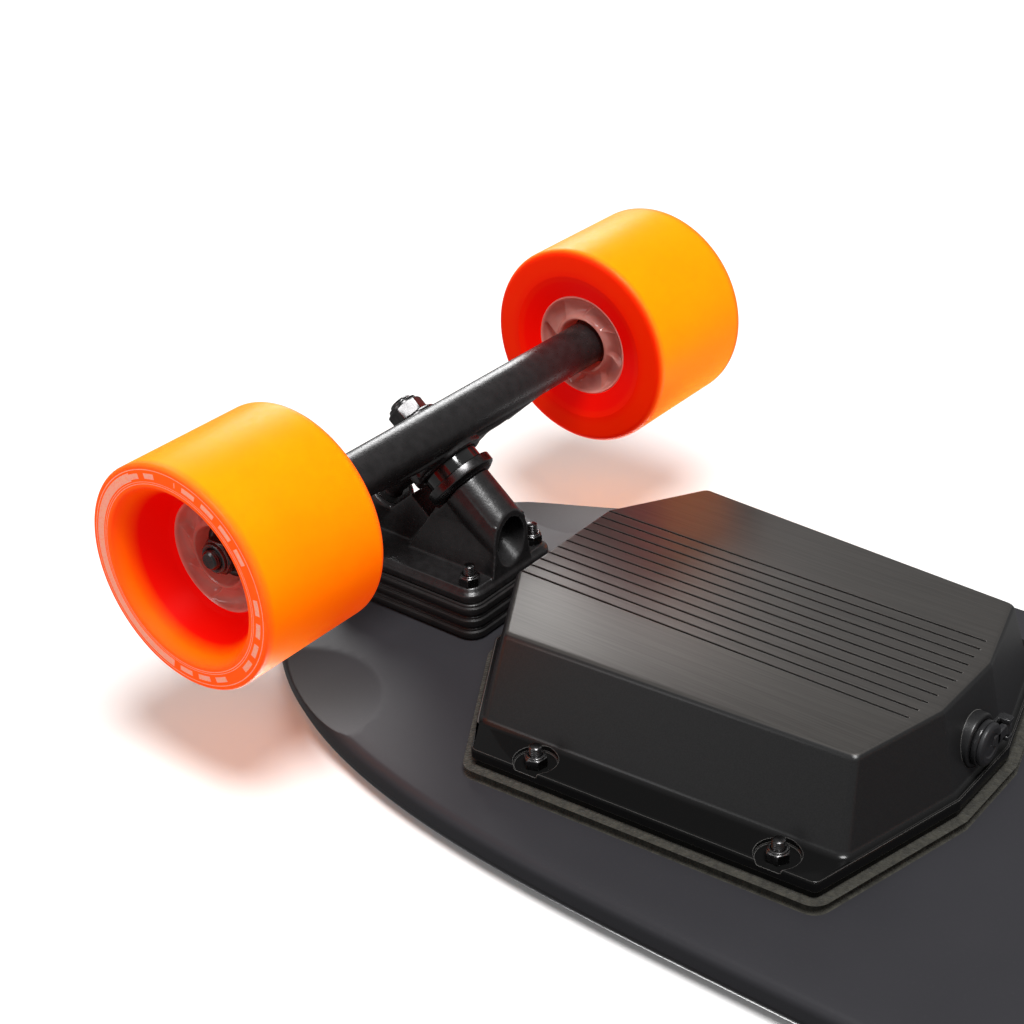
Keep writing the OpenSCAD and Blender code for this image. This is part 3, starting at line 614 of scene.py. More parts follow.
STEEL = dict(metal=1.0, mottle=300, grain=2500, depth=0.000003)
PLAIN = {
    "riser_rubber": ((0.007, 0.0065, 0.0065), 0.42, dict(grain=1800, depth=0.00003, wear=0.06)),
    "bushing_urethane": ((0.008, 0.008, 0.008), 0.10, dict(grain=500, Coat_Weight=0.6)),
    "black_steel": ((0.085, 0.083, 0.084), 0.27, dict(STEEL, wear=0.6)),
    "steel": ((0.52, 0.52, 0.53), 0.28, dict(STEEL, wear=0.2)),
    "laminations": ((0.30, 0.30, 0.31), 0.5, dict(metal=1.0, grain=3000, depth=0.00004)),
    "copper": ((0.72, 0.30, 0.14), 0.3, dict(metal=1.0, grain=2200, depth=0.0001, Coat_Weight=0.6)),
    "motor_can": ((0.022, 0.022, 0.024), 0.3, dict(metal=0.6, grain=2600, wear=0.35, soft=0.0006)),
    "magnet": ((0.55, 0.55, 0.57), 0.18, dict(metal=1.0, grain=1500)),
    "cell_wrap": ((0.02, 0.16, 0.17), 0.35, dict(grain=400, Coat_Weight=0.3)),
    "nickel": ((0.65, 0.63, 0.58), 0.3, dict(metal=1.0)),
    "board_green": ((0.012, 0.09, 0.03), 0.4, dict(mottle=500, grain=1200, depth=0.00005)),
    "heatsink_metal": ((0.6, 0.6, 0.6), 0.35, dict(metal=1.0, grain=1600)),
    "cap_rubber": ((0.02, 0.02, 0.022), 0.42, dict(grain=1500, wear=0.12)),
    "port_plastic": ((0.012, 0.012, 0.013), 0.22, dict(grain=900, wear=0.12)),
    "bezel_metal": ((0.35, 0.35, 0.36), 0.25, dict(metal=1.0, wear=0.3)),
    "nylon": ((0.03, 0.03, 0.035), 0.4, dict(grain=700)),
    "shield": ((0.01, 0.01, 0.01), 0.35, dict(grain=1500, wear=0.1)),
}
MATERIALS = {name: plain(name, colour, rough, **more) for name, (colour, rough, more) in PLAIN.items()}
MATERIALS.update(deck_paint=deck_paint(), grip=grip_sheet(), cast_black=cast_paint(),
                 urethane_orange=urethane(), core_clear=clear_core(), enclosure_black=brushed_skin(),
                 gasket_foam=foam(), cable_sleeve=braid())
NUT_LOOKS = ["black_steel", "nylon"]


# Deck

TIP_FULLNESS = 3.2
TAPER = 300
RAIL_ROUND, RAIL_STEP = 4, 1
RAIL_FLAT, RAIL_LINE = 16, 0.62
GRIP_LIFT, GRIP_EDGE = 0.02, 1.5
DECK_LEN = DECK_HIGH.x - DECK_LOW.x
DECK_W = DECK_HIGH.y - DECK_LOW.y
CONCAVE_R = (DECK_W / 2 - RAIL_FLAT) ** 2 / 2 / (DECK_T - DECK_MID)
BOLT_SHIFT, BOLT_X, BOLT_Y = 2, 54, 41.3
NUTS = {"front": [(111, 87.5), (210, 81)], "rear": [(108, 87.5), (180, 82.5)]}
WELL_R, WELL_DEPTH, WELL_X, WELL_Y = 217.5, 3, 2, 100
SCREW_HOLE_R, HEAD_HOLE_R, HEAD_DROP = 2.65, 5, 3.1
OUTLINE_POINTS = 560
SHARES = [0.03] + [k / 26 for k in range(1, 26)]


def half_width(x):
    t = min(1, (DECK_LEN / 2 - abs(x)) / TAPER)
    return DECK_W / 2 * math.sqrt(max(0, 1 - (1 - t) ** TIP_FULLNESS))


def deck_outline(n):
    """n points all round, evenly spaced, starting at the nose."""
    dense = []
    for k in range(2001):
        x = DECK_LEN / 2 * math.cos(math.pi * k / 2000)
        dense.append(Vector((x, half_width(x))))
    lengths = [0]
    for a, b in zip(dense, dense[1:]):
        lengths.append(lengths[-1] + (b - a).length)
    side, k = [], 0
    for i in range(n // 2 + 1):
        goal = lengths[-1] * i / (n // 2)
        while k < len(dense) - 2 and lengths[k + 1] < goal:
            k += 1
        side.append(dense[k].lerp(dense[k + 1], (goal - lengths[k]) / (lengths[k + 1] - lengths[k])))
    return side + [Vector((p.x, -p.y)) for p in side[-2:0:-1]]


def deck_ring(outline, inset, share, height):
    """The outline drawn in by inset, then shrunk to a share of its way from the deck's spine."""
    kx, ky = 1 - 2 * inset / DECK_LEN, 1 - 2 * inset / DECK_W
    reach = DECK_LEN / 2 - DECK_W / 2
    ring = []
    for p in outline:
        spine = Vector((max(-1, min(1, p.x / reach)) * reach, 0))
        q = spine.lerp(Vector((p.x * kx, p.y * ky)), share)
        ring.append((q.x, q.y, height(q.y)))
    return ring


def concave(y, lift=0.0):
    """Height of the dished top above the deck's underside, up to the flat rails."""
    return min(DECK_MID + y * y / 2 / CONCAVE_R, DECK_T) + lift


def bolt_spots():
    """Every bolt through the deck: its kind, its place in the board's frame, and its head's height."""
    for end, where in ENDS.items():
        for dx in (-0.5, 0.5):
            for dy in (-0.5, 0.5):
                spot = where @ Vector((BOLT_SHIFT + dx * BOLT_X, dy * BOLT_Y, 0))
                yield "truck", spot.x, spot.y, DECK_MID - 0.4
        for e, y in NUTS[end]:
            for side in (-1, 1):
                spot = where @ Vector((-e, side * y, 0))
                yield "enclosure", spot.x, spot.y, DECK_MID + 1.4


def deck_cutters():
    """Countersunk holes for the bolts, and the wheel wells."""
    shape = Shape()
    for _, x, y, head in bolt_spots():
        levels = [(SCREW_HOLE_R, -8), (SCREW_HOLE_R, head - HEAD_DROP), (HEAD_HOLE_R, head),
                  (HEAD_HOLE_R, DECK_T + 6)]
        shape.add(turned(levels, 32, 1), moved(x, y, 0))
    reach = math.sqrt(WELL_R ** 2 - (WELL_R - WELL_DEPTH - 3) ** 2)
    top = math.asin(reach / WELL_R)
    dome = []
    for k in range(25):
        a = top * (1 - k / 24.5)
        dome.append((WELL_R * math.sin(a), WELL_R * math.cos(a) - WELL_R + WELL_DEPTH))
    for where in ENDS.values():
        for side in (-1, 1):
            spot = where @ Vector((WELL_X, side * WELL_Y, 0))
            shape.add(turned(dome, 160, 1), moved(spot.x, spot.y, 0))
    return shape


def sharpen_slots(obj):
    """Keeps a crisp line where faces of two material slots meet."""
    work = bmesh.new()
    work.from_mesh(obj.data)
    for edge in work.edges:
        if len({face.material_index for face in edge.link_faces}) == 2:
            edge.smooth = False
    work.to_mesh(obj.data)
    work.free()


def build_deck():
    outline = deck_outline(OUTLINE_POINTS)
    rings = [deck_ring(outline, RAIL_ROUND, s, lambda y: 0) for s in SHARES]

    def rail(inset, z):
        rings.append(deck_ring(outline, inset, 1, lambda y: min(z, concave(y))))

    quarter = [math.pi / 2 * k / 8 for k in range(9)]
    for a in quarter:
        rail(RAIL_ROUND * (1 - math.sin(a)), RAIL_ROUND * (1 - math.cos(a)))
    for inset, dz in ((0, -0.4), (RAIL_STEP - 0.1, 0), (RAIL_STEP, 0.3)):
        rail(inset, RAIL_LINE * DECK_T + dz)
    for a in quarter:
        inset = RAIL_STEP + (RAIL_ROUND - RAIL_STEP) * (1 - math.cos(a))
        rail(inset, DECK_T - RAIL_ROUND * (1 - math.sin(a)))
    rings += [deck_ring(outline, RAIL_ROUND, s, concave) for s in SHARES[::-1]]
    mesh = carved(mesh_of(Shape().rings(rings)), deck_cutters())
    deck = piece("deck_board", mesh, moved(0, 0, DECK_LOW.z), "board", "deck_paint", "deck",
                 ["deck_paint", "deck_paint"], 28)
    sharpen_slots(deck)


def build_grip():
    outline = deck_outline(OUTLINE_POINTS)
    inset = RAIL_ROUND + GRIP_EDGE
    thick = max(0.8, min(1.2, span("grip_tape")[1].z - DECK_HIGH.z))
    rings = [deck_ring(outline, inset, s, lambda y: concave(y, GRIP_LIFT)) for s in SHARES + [1]]
    rings.append(deck_ring(outline, inset, 1, lambda y: concave(y, thick * 0.7)))
    rings += [deck_ring(outline, inset + 0.3, s, lambda y: concave(y, thick)) for s in [1] + SHARES[::-1]]
    holes = Shape()
    for _, x, y, _ in bolt_spots():
        holes.add(turned([(HEAD_HOLE_R, 0), (HEAD_HOLE_R, DECK_T + 8)], 40), moved(x, y, 0))
    mesh = carved(mesh_of(Shape().rings(rings)), holes)
    piece("grip_sheet", mesh, moved(0, 0, DECK_LOW.z), "board", "grip", "grip_tape", ["grip", "grip"], 28)


# Trucks

PLATE_IN, PLATE_OUT, PLATE_W, PLATE_T = 32, 50, 55, 6
PLATE_LEN, PLATE_X = PLATE_IN + PLATE_OUT, (PLATE_OUT - PLATE_IN) / 2
BARREL_R, POCKET_R, HEAD_T = 11, 8.6, 5.4
PIVOT_REACH, HOUSING_R, CUP_R = 40, 11, 8.05
KINGPIN_R, KINGPIN_HEX = 5, 8.25
BUSHING_R, CUP_WASHER_R = 12.7, 15.5


def riser_stack():
    """Three pads, each with a bulging rib round its edge."""
    shape = Shape()
    pad = (UNDERSIDE - PLATE_Z) / 3
    rib = [(0, 0.1), (0.06, 0.5), (0.22, 0.6), (0.27, 1.3), (0.4, 1.5)]
    rib += [(1 - share, grow) for share, grow in rib[::-1]]
    for i in range(3):
        levels = []
        for share, grow in rib:
            outline = rounded_box(PLATE_LEN + 2 * grow, PLATE_W + 2 * grow, 6 + grow, PLATE_X)
            levels.append((outline, PLATE_Z + pad * (i + 0.01 + 0.98 * share)))
        shape.add(loft(levels))
    return shape


def in_truck(t, s):
    """A point across the board's middle, t along the steering axis and s along the kingpin."""
    p = KINGPIN @ Vector((-t, 0, s))
    return p.x, p.z


def along_pivot(reach):
    """Local Z runs along the steering axis, from reach behind the hanger's ring towards it."""
    return KINGPIN @ moved(-reach, 0, 0) @ spun(math.pi / 2, "Y")


def prism(outline, side):
    """An outline seen from the side, thickened both ways from the board's middle."""
    return Shape().rings([[(x, y, z) for x, z in outline] for y in (-side, side)])


def baseplate():
    """Plate, wedge tower, half-round back with the kingpin's pocket, and the pivot's housing."""
    plate = []
    for inset, z in ((0, PLATE_Z), (0, PLATE_Z - 3.4), (1.0, PLATE_Z - 4.2), (2.0, PLATE_Z - PLATE_T)):
        plate.append((rounded_box(PLATE_LEN - 2 * inset, PLATE_W - 2 * inset, 7, PLATE_X), z))
    mesh = mesh_of(loft(plate))

    back, foot = 1 - PLATE_IN, PLATE_Z - 1
    tower = [in_truck(-6, SEAT), in_truck(41, SEAT), (18, foot), (back, foot), (back, 38)]
    saddle = [in_truck(22, SEAT), in_truck(22, -10), in_truck(46, -6), (PLATE_OUT - 12, foot), (0, foot)]
    flanks = []
    for out in (-1, 1):
        flanks.append(Shape().rings([[(a, out * 9, 36), (b, out * 13.4, foot), (b, out * 9, foot)]
                                     for a, b in ((back, back), (2, 19))]))
    for solid in (prism(tower, 9.6), *flanks, prism(saddle, 8)):
        mesh = carved(mesh, solid, "UNION")

    # The barrel stops 0.03 short of the tower's top, so that no two faces of the union share a plane.
    barrel = turned([(BARREL_R, -90), (BARREL_R, SEAT - 0.03)], 96)
    housing = turned([(HOUSING_R, 0), (HOUSING_R, 25), (HOUSING_R - 1, 26)], 96)
    below = rounded_box(PLATE_LEN + 7, 60, 1, PLATE_X + 4.5)
    room = loft([(below, PLATE_Z - 70), (below, PLATE_Z - 0.5)])
    for solid, where in ((barrel, KINGPIN), (housing, along_pivot(PIVOT_REACH + 24))):
        solid = carved(mesh_of(Shape().add(solid, where)), room, "INTERSECT")
        mesh = carved(mesh, solid, "UNION")

    hole = turned([(KINGPIN_R + 0.2, -60), (KINGPIN_R + 0.2, SEAT + 8)], 48)
    pocket = turned([(POCKET_R, -90), (POCKET_R, PIN_LOW + HEAD_T)], 72)
    cup = turned([(CUP_R, 0), (CUP_R, 14)], 64)
    for tool, where in ((hole, KINGPIN), (pocket, KINGPIN), (cup, along_pivot(PIVOT_REACH + 8.05))):
        mesh = carved(mesh, Shape().add(tool, where))
    return cast(mesh, 0.5, 5)


def web_pocket(side):
    """A three-cornered hollow in the web's boardside face, between the ring and the tube."""
    corners = [(-0.5, side * 17.6), (10.5, side * 19.5), (10.5, side * 38)]
    return Shape().rings([[(x, y, s) for x, y in fillet(corners, 1.5, 4)] for s in (-14, -5)])


def hanger(node, where):
    """The CAD casting with hollows in its web, softened."""
    mesh = mesh_of(cad_copy(node, where))
    slant = [(20, -11.3), (57, -9.4), (57, -20), (20, -20)]
    for side in (-1, 1):
        wedge = Shape().rings([[(x, side * y, s) for y, s in slant] for x in (-20, 30)])
        for tool in (wedge, web_pocket(side)):
            mesh = carved(mesh, Shape().add(tool, KINGPIN))
    return cast(mesh, 0.55, 5)


def build_trucks():
    plate_mesh = baseplate()
    for end, where in ENDS.items():
        piece(f"{end}_riser_stack", riser_stack(), where, "board", "riser_rubber", "riser_pads")
        piece(f"{end}_baseplate", plate_mesh.copy(), where, "board", "cast_black", "baseplates", crease=50)
        node = f"{end}_hanger"
        piece(f"{node}_casting", hanger(node, where), where, f"{end}_truck", "cast_black", node, crease=50)


def on_pins(name, shape, slot, node, looks=None):
    """A piece with one copy of a shape on each kingpin."""
    both = Shape().add(shape, FRONT @ KINGPIN).add(shape, REAR @ KINGPIN)
    piece(name, both, Matrix(), "board", slot, node, looks)


def build_kingpins():
    head = PIN_LOW + HEAD_T
    pin = turned([(hexagon(KINGPIN_HEX, 7.4), PIN_LOW), (hexagon(KINGPIN_HEX), PIN_LOW + 0.7),
                  (hexagon(KINGPIN_HEX), head - 0.1), (KINGPIN_R, head), (KINGPIN_R, CAP_TOP - 2)]
                 + thread(KINGPIN_R, CAP_TOP - 1.8, PIN_TOP - 0.5, 1.2, 0.5, 48)
                 + [(KINGPIN_R - 1, PIN_TOP)], 48)
    on_pins("kingpin_bolts", pin, "black_steel", "kingpins")
    bore = KINGPIN_R + 0.05
    cup = lathe([(bore, SEAT + 0.1), (11, SEAT + 0.1), (13, SEAT + 0.4), (CUP_WASHER_R, SEAT + 1.8),
                 (CUP_WASHER_R, CUP_TOP), (CUP_WASHER_R - 1.7, CUP_TOP), (BUSHING_R + 0.4, SEAT + 2.2),
                 (bore, SEAT + 2)], [0.2, 0.5, 1.5, 1, 0.5, 0.5, 1, 0.2])
    on_pins("boardside_cup_washers", cup, "black_steel", "boardside_washers")
    low = SEAT + 2.05
    barrel = lathe([(bore, low), (BUSHING_R - 0.4, low), (BUSHING_R, low + 1.5), (BUSHING_R, -6),
                    (BUSHING_R - 1.4, -4), (bore, -4)], [0.2, 0.6, 1, 2, 1, 0.2])
    on_pins("boardside_barrels", barrel, "bushing_urethane", "boardside_bushings")
    cone = lathe([(bore, CONE_LOW), (10.8, CONE_LOW), (11, CONE_LOW + 2), (8.9, CONE_TOP - 0.4),
                  (8.4, CONE_TOP), (bore, CONE_TOP)], [0.2, 1, 1, 0.5, 0.5, 0.2])
    on_pins("roadside_cones", cone, "bushing_urethane", "roadside_bushings")
    cap = lathe([(bore, CONE_TOP), (9.2, CONE_TOP), (9.6, CONE_TOP - 0.4), (10.5, CONE_TOP - 0.4),
                 (10.5, CAP_TOP - 0.9), (9.4, CAP_TOP), (bore, CAP_TOP)], 0.3)
    on_pins("roadside_cup_washers", cap, "black_steel", "roadside_washers")
    tall = NUT_TOP - CAP_TOP
    nut = Shape().add(lock_nut(KINGPIN_HEX, tall - 1.6, 6.6, tall, bore), moved(0, 0, CAP_TOP))
    on_pins("kingpin_lock_nuts", nut, "black_steel", "kingpin_nuts", NUT_LOOKS)


# Front wheels

BEARING_IN, BEARING_OUT, BEARING_W = -18.5, -1.5, 7
DISH_R, BACK_DISH_R, SEAT_R, STEP_R, BLADES = 35.6, 33, 11.03, 9.4, 8
AXLE_HOLE_R, LAST_WASHER = 4.05, 1.5


def front_tyre():
    corners = [(CORE_R, CORE_IN), (BACK_DISH_R, -HALF_W), (TYRE_R, -HALF_W), (TYRE_R, HALF_W),
               (DISH_R, HALF_W), (CORE_R + 1.4, CORE_OUT + 1.6), (CORE_R, CORE_OUT)]
    return lathe(corners, [0.3, 2.0, 3.4, 1.4, 1.4, 1.2, 0.3], 192, steps=8)


def front_core():
    """Hub, rim and filled web, whose two faces are fans of shallow ramps."""
    n, hub, edge = 384, 12.4, CORE_R - 0.05
    first, last = hub + 1.4, edge - 1.5
    rings = []

    def ring(r, height, out=0, depth=0.0):
        points = []
        for i in range(n):
            a = TURN * i / n
            ramp = (BLADES * a / TURN + 0.5 * (r - hub) / (edge - hub) * (out or 1)) % 1
            lift = ramp / 0.9 if ramp < 0.9 else (1 - ramp) / 0.1
            points.append((r * math.cos(a), r * math.sin(a), height - out * depth * lift))
        rings.append(points)

    def face(z, out):
        """From the bore's mouth to the rim."""
        ring(SEAT_R, z - out * 3.5)
        ring(hub - 0.4, z - out * 0.5)
        ring(hub + 0.2, z - out * 0.1)
        ring(hub + 0.8, z - out * 0.3)
        for k in range(11):
            share = k / 10
            swell = 1.3 * math.sin(math.pi * share) ** 0.5
            ring(first + (last - first) * share, z - out * (0.9 + 0.5 * swell), out, 2.2 * swell)
        ring(edge - 1.1, z - out * 0.4)
        ring(edge - 0.5, z)
        ring(edge, z - out * 0.4)

    inner = BEARING_IN + BEARING_W
    ring(STEP_R, inner)
    ring(STEP_R, BEARING_OUT)
    ring(SEAT_R, BEARING_OUT)
    face(CORE_OUT, 1)
    outer, rings = rings, []
    face(CORE_IN, -1)
    rings = outer + rings[::-1]
    ring(SEAT_R, inner)
    return Shape().rings(rings, loop=True)


def bearing_pair():
    """Outer races (slot 0) and rubber shields (slot 1)."""
    shape = Shape()
    for low in (BEARING_IN, BEARING_OUT):
        high = low + BEARING_W
        shape.add(washer(9.3, 11, low, high, 0.35, 96))
        shield = [(7, low + 0.5), (9.4, low + 0.3), (9.4, high - 0.3), (8.9, high - 0.3), (8.7, high - 0.6),
                  (7.6, high - 0.6), (7.4, high - 0.4), (7, high - 0.5)]
        shape.add(lathe(shield, 0.08, 96, 1, 2))
    return shape


def build_front_wheels():
    tyre, core, bearings = front_tyre(), front_core(), bearing_pair()
    for name, side in (("front_left", 1), ("front_right", -1)):
        at = (FRONT @ at_wheel(side), f"{name}_wheel")
        piece(f"{name}_urethane", tyre, *at, "urethane_orange", f"{name}_tyre")
        piece(f"{name}_hub", core, *at, "core_clear", f"{name}_core")
        piece(f"{name}_ball_bearings", bearings, *at, "black_steel", f"{name}_bearings",
              ["black_steel", "shield"])

    def both_wheels(name, shape, slot, node, looks=None):
        both = Shape().add(shape, FRONT @ at_wheel(1)).add(shape, FRONT @ at_wheel(-1))
        piece(name, both, Matrix(), "front_truck", slot, node, looks)

    hole, outer_end = AXLE_HOLE_R, BEARING_OUT + BEARING_W
    inner = washer(hole, 6.95, BEARING_IN, BEARING_IN + BEARING_W, 0.4)
    inner.add(washer(hole, 6.95, BEARING_OUT, outer_end, 0.4))
    both_wheels("inner_races", inner, "steel", "bearing_inner_rings")
    rings = washer(hole, 5.6, HANGER_HALF - TRACK, BEARING_IN, 0.2)
    rings.add(washer(hole, 5.6, outer_end, outer_end + LAST_WASHER, 0.25))
    both_wheels("axle_washers", rings, "steel", "speed_rings")
    tube = washer(hole, 5.5, BEARING_IN + BEARING_W, BEARING_OUT, 0.3)
    both_wheels("spacer_tubes", tube, "steel", "bearing_spacers")
    nut = Shape().add(lock_nut(7.5, 5, 6.1, 6.8, hole), moved(0, 0, outer_end + LAST_WASHER))
    both_wheels("axle_lock_nuts", nut, "black_steel", "axle_nuts", NUT_LOOKS)
    end = AXLE_HALF
    levels = [(AXLE_R - 1, -end), (AXLE_R - 0.4, -end + 0.5)]
    levels += thread(AXLE_R, -end + 0.8, -end + 14, 1.0, 0.45, 48)
    levels += [(AXLE_R, -end + 14.5), (AXLE_R, end - 14.5)]
    levels += thread(AXLE_R, end - 14, end - 0.8, 1.0, 0.45, 48)
    levels += [(AXLE_R - 0.4, end - 0.5), (AXLE_R - 1, end)]
    rod = Shape().add(turned(levels, 48), FRONT @ spun(-math.pi / 2, "X"))
    piece("axle_rod", rod, Matrix(), "front_truck", "steel", "front_axle", ["black_steel"])


# Hub motors

CAN_R, CAN_WALL, BACK_FACE, COVER_IN = 36, 4.2, 29, 24


def build_motors():
    inside, back = CAN_R - CAN_WALL, -BACK_FACE
    can = lathe([(inside, back + 3), (12.02, back + 6.5), (12.02, back), (17, back), (18, back + 0.8),
                 (30, back + 0.8), (31, back), (CAN_R, back), (CAN_R, COVER_IN), (inside, COVER_IN)],
                [0.5, 0.3, 0.4, 0.3, 0.3, 0.3, 0.3, 1.0, 0.2, 0.2], 128)
    vents, recesses, screws = Shape(), Shape(), Shape()
    vent = rounded_box(7.5, 4.4, 2.1, 24.2)
    for k in range(8):
        vents.add(loft([(vent, back - 2), (vent, -20)]), spun(TURN * k / 8, "Z"))
    face, lip = COVER_IN + 4, COVER_IN + 0.05
    cover = lathe([(0.2, COVER_IN + 1.6), (12.1, COVER_IN + 0.1), (12.1, COVER_IN - 5.9),
                   (15.2, COVER_IN - 5.9), (15.2, lip), (CAN_R, lip), (CAN_R, face - 0.9),
                   (CAN_R - 1, face), (CAN_R - 3, face), (CAN_R - 3.4, face - 0.5), (24, face - 0.5),
                   (23.6, face - 0.1),
                   (13, face - 0.1), (12, face - 1.2), (10, face - 1.2), (9, face), (0.2, face)],
                  0.15, 128, steps=3)
    for k in range(6):
        spot = spun(TURN * (k + 0.5) / 6, "Z") @ moved(29, 0, 0)
        recesses.add(turned([(2.9, face - 1.5), (2.9, face + 3)], 40), spot)
        screws.add(turned([(2.4, face - 1.7), (2.5, face - 0.5), (2.2, face - 0.15),
                           (hexagon(1.35), face - 0.15), (hexagon(1.25), face - 1.3)], 36, 1), spot)
    edge = [(CAN_R + 0.05, HALF_W - 1.2), (CAN_R + 1.4, HALF_W), (TYRE_R, HALF_W)]
    tread = lathe([(r, -z) for r, z in edge] + edge[::-1], [0.2, 0.6, 3.6, 3.6, 0.6, 0.2], 192, steps=8)
    for name, side in (("rear_left", -1), ("rear_right", 1)):
        at = (REAR @ at_wheel(side), f"{name}_wheel")
        piece(f"{name}_can", carved(mesh_of(can), vents), *at, "motor_can", f"{name}_rotor", crease=30)
        piece(f"{name}_end_plate", carved(mesh_of(cover), recesses), *at, "motor_can", f"{name}_cover",
              crease=30)
        piece(f"{name}_screws", screws, *at, "black_steel", looks=["black_steel", "black_steel"])
        piece(f"{name}_tread", tread, *at, "urethane_orange", f"{name}_sleeve")


def spline(points, steps=14):
    """Points along a smooth curve through all the given ones."""
    ends = [2 * points[0] - points[1]] + points + [2 * points[-1] - points[-2]]
    out = []
    for a, b, c, d in zip(ends, ends[1:], ends[2:], ends[3:]):
        for k in range(steps):
            t = k / steps
            out.append(0.5 * (2 * b + (c - a) * t + (2 * a - 5 * b + 4 * c - d) * t * t
                              + (3 * b - a - 3 * c + d) * t ** 3))
    return out + [points[-1]]


def tube(path, radius, n=24):
    """A round tube whose rings keep the least twist along the path."""
    rings, across = [], None
    for i, p in enumerate(path):
        along = (path[min(i + 1, len(path) - 1)] - path[max(i - 1, 0)]).normalized()
        across = along.orthogonal() if across is None else across - along * across.dot(along)
        across = across.normalized()
        third = along.cross(across)
        rings.append([p + radius * (across * math.cos(TURN * k / n) + third * math.sin(TURN * k / n))
                      for k in range(n)])
    return Shape().rings(rings)


def build_motor_leads():
    path = [(-11.5, 58, 9), (-13, 46, 10), (-24, 30, 24), (-38, 20, 47), (-52, 14, 57), (-61, 14, 57)]
    shape = Shape()
    for side in (-1, 1):
        shape.add(tube(spline([Vector((x, side * y, z)) for x, y, z in path]), 3), REAR)
    leads = piece("motor_lead_pair", shape, Matrix(), None, "cable_sleeve", "motor_leads")
    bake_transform(leads)


# Bolts and nuts

BOLT_R, BOLT_THREAD, BOLT_TURN = 2.5, 14, 0.7


def countersunk(top, low, thread_top):
    """Flat-headed bolt with a hexagon socket, screwed at its lower end."""
    levels = [(1.4, low)] + thread(BOLT_R, low + 0.4, thread_top, 0.8, 0.38, 32, 5)
    levels += [(BOLT_R, thread_top + 0.2), (BOLT_R, top - 3), (4.6, top - 0.5), (4.7, top - 0.2),
               (4.5, top), (hexagon(1.9), top), (hexagon(1.75), top - 0.15), (hexagon(1.75), top - 2.2)]
    return turned(levels, 36)


def build_fasteners():
    shapes = {"truck": (Shape(), Shape()), "enclosure": (Shape(), Shape())}
    lows = {kind: low_of(f"{kind}_bolts") for kind in shapes}
    nut_low = {"truck": PLATE_Z - PLATE_T, "enclosure": FLANGE_LOW + 2}
    for i, (kind, x, y, head) in enumerate(bolt_spots()):
        bolts, nuts = shapes[kind]
        spot = moved(x, y, AXLE.z) @ spun(BOLT_TURN * i, "Z")
        bolts.add(countersunk(UNDERSIDE + head, lows[kind], lows[kind] + BOLT_THREAD), spot)
        flip = moved(0, 0, nut_low[kind]) @ spun(math.pi, "X")
        nuts.add(lock_nut(4.6, 4, 3.8, 5, 2.54), spot @ flip)
    for kind, (bolts, nuts) in shapes.items():
        piece(f"{kind}_screws", bolts, Matrix(), "board", "black_steel", f"{kind}_bolts")
        piece(f"{kind}_lock_nuts", nuts, Matrix(), "board", "black_steel", f"{kind}_nuts", NUT_LOOKS)


# Enclosures

NOSE_E, NOSE_H, SHOULDER_E, SHOULDER_H = 58.8, 30.2, 82.2, 68
SIDE_TAPER, END_SLOPE, END_H = 0.0648, 0.263, 18
FOOT, LIP = (8.7, 12.5, 7), (10.6, 28.3, 9.8)
WALL, CORNER = 2.7, 3
GROOVES, GROOVE_PITCH, GROOVE_W, GROOVE_DEPTH, GROOVE_END = 11, 5.8, 1.2, 0.9, 4.5
PORT_Z, PORT_R = 57, 7.4


def plan(dn, ds, de, reach):
    """Eight corners of an enclosure seen from below, in (distance inboard, across). dn, ds and de
    move its nose, side and end lines outwards."""
    m = (SHOULDER_H - NOSE_H) / (SHOULDER_E - NOSE_E)
    mn = math.hypot(1, m)
    side0 = SHOULDER_H + SIDE_TAPER * SHOULDER_E + ds
    e0, h0 = NOSE_E - dn, NOSE_H + dn * (mn - m)
    e1 = NOSE_E + (side0 - NOSE_H - SIDE_TAPER * NOSE_E - dn * mn) / (m + SIDE_TAPER)
    h1 = side0 - SIDE_TAPER * e1
    slope = math.hypot(1, END_SLOPE)
    end0 = reach + de * slope
    e2 = (end0 - END_SLOPE * (side0 - END_H)) / (1 - END_SLOPE * SIDE_TAPER)
    h2 = side0 - SIDE_TAPER * e2
    e3, h3 = reach + de, END_H + de * (slope - 1) / END_SLOPE
    right = [(-e0, -h0), (-e1, -h1), (-e2, -h2), (-e3, -h3)]
    return right + [(x, -y) for x, y in reversed(right)]


def shell_outline(share, extra, reach, corner=CORNER):
    offsets = [share * f + extra for f in FOOT]
    return fillet(plan(*offsets, reach), corner, 6)


LEDGE = [(-1.1, 0), (-0.4, 0.2), (-0.1, 0.7), (0, 1.2), (0, 4.3), (-0.9, 4.6), (-0.9, FLANGE_T)]
RECESS_R = 8.4


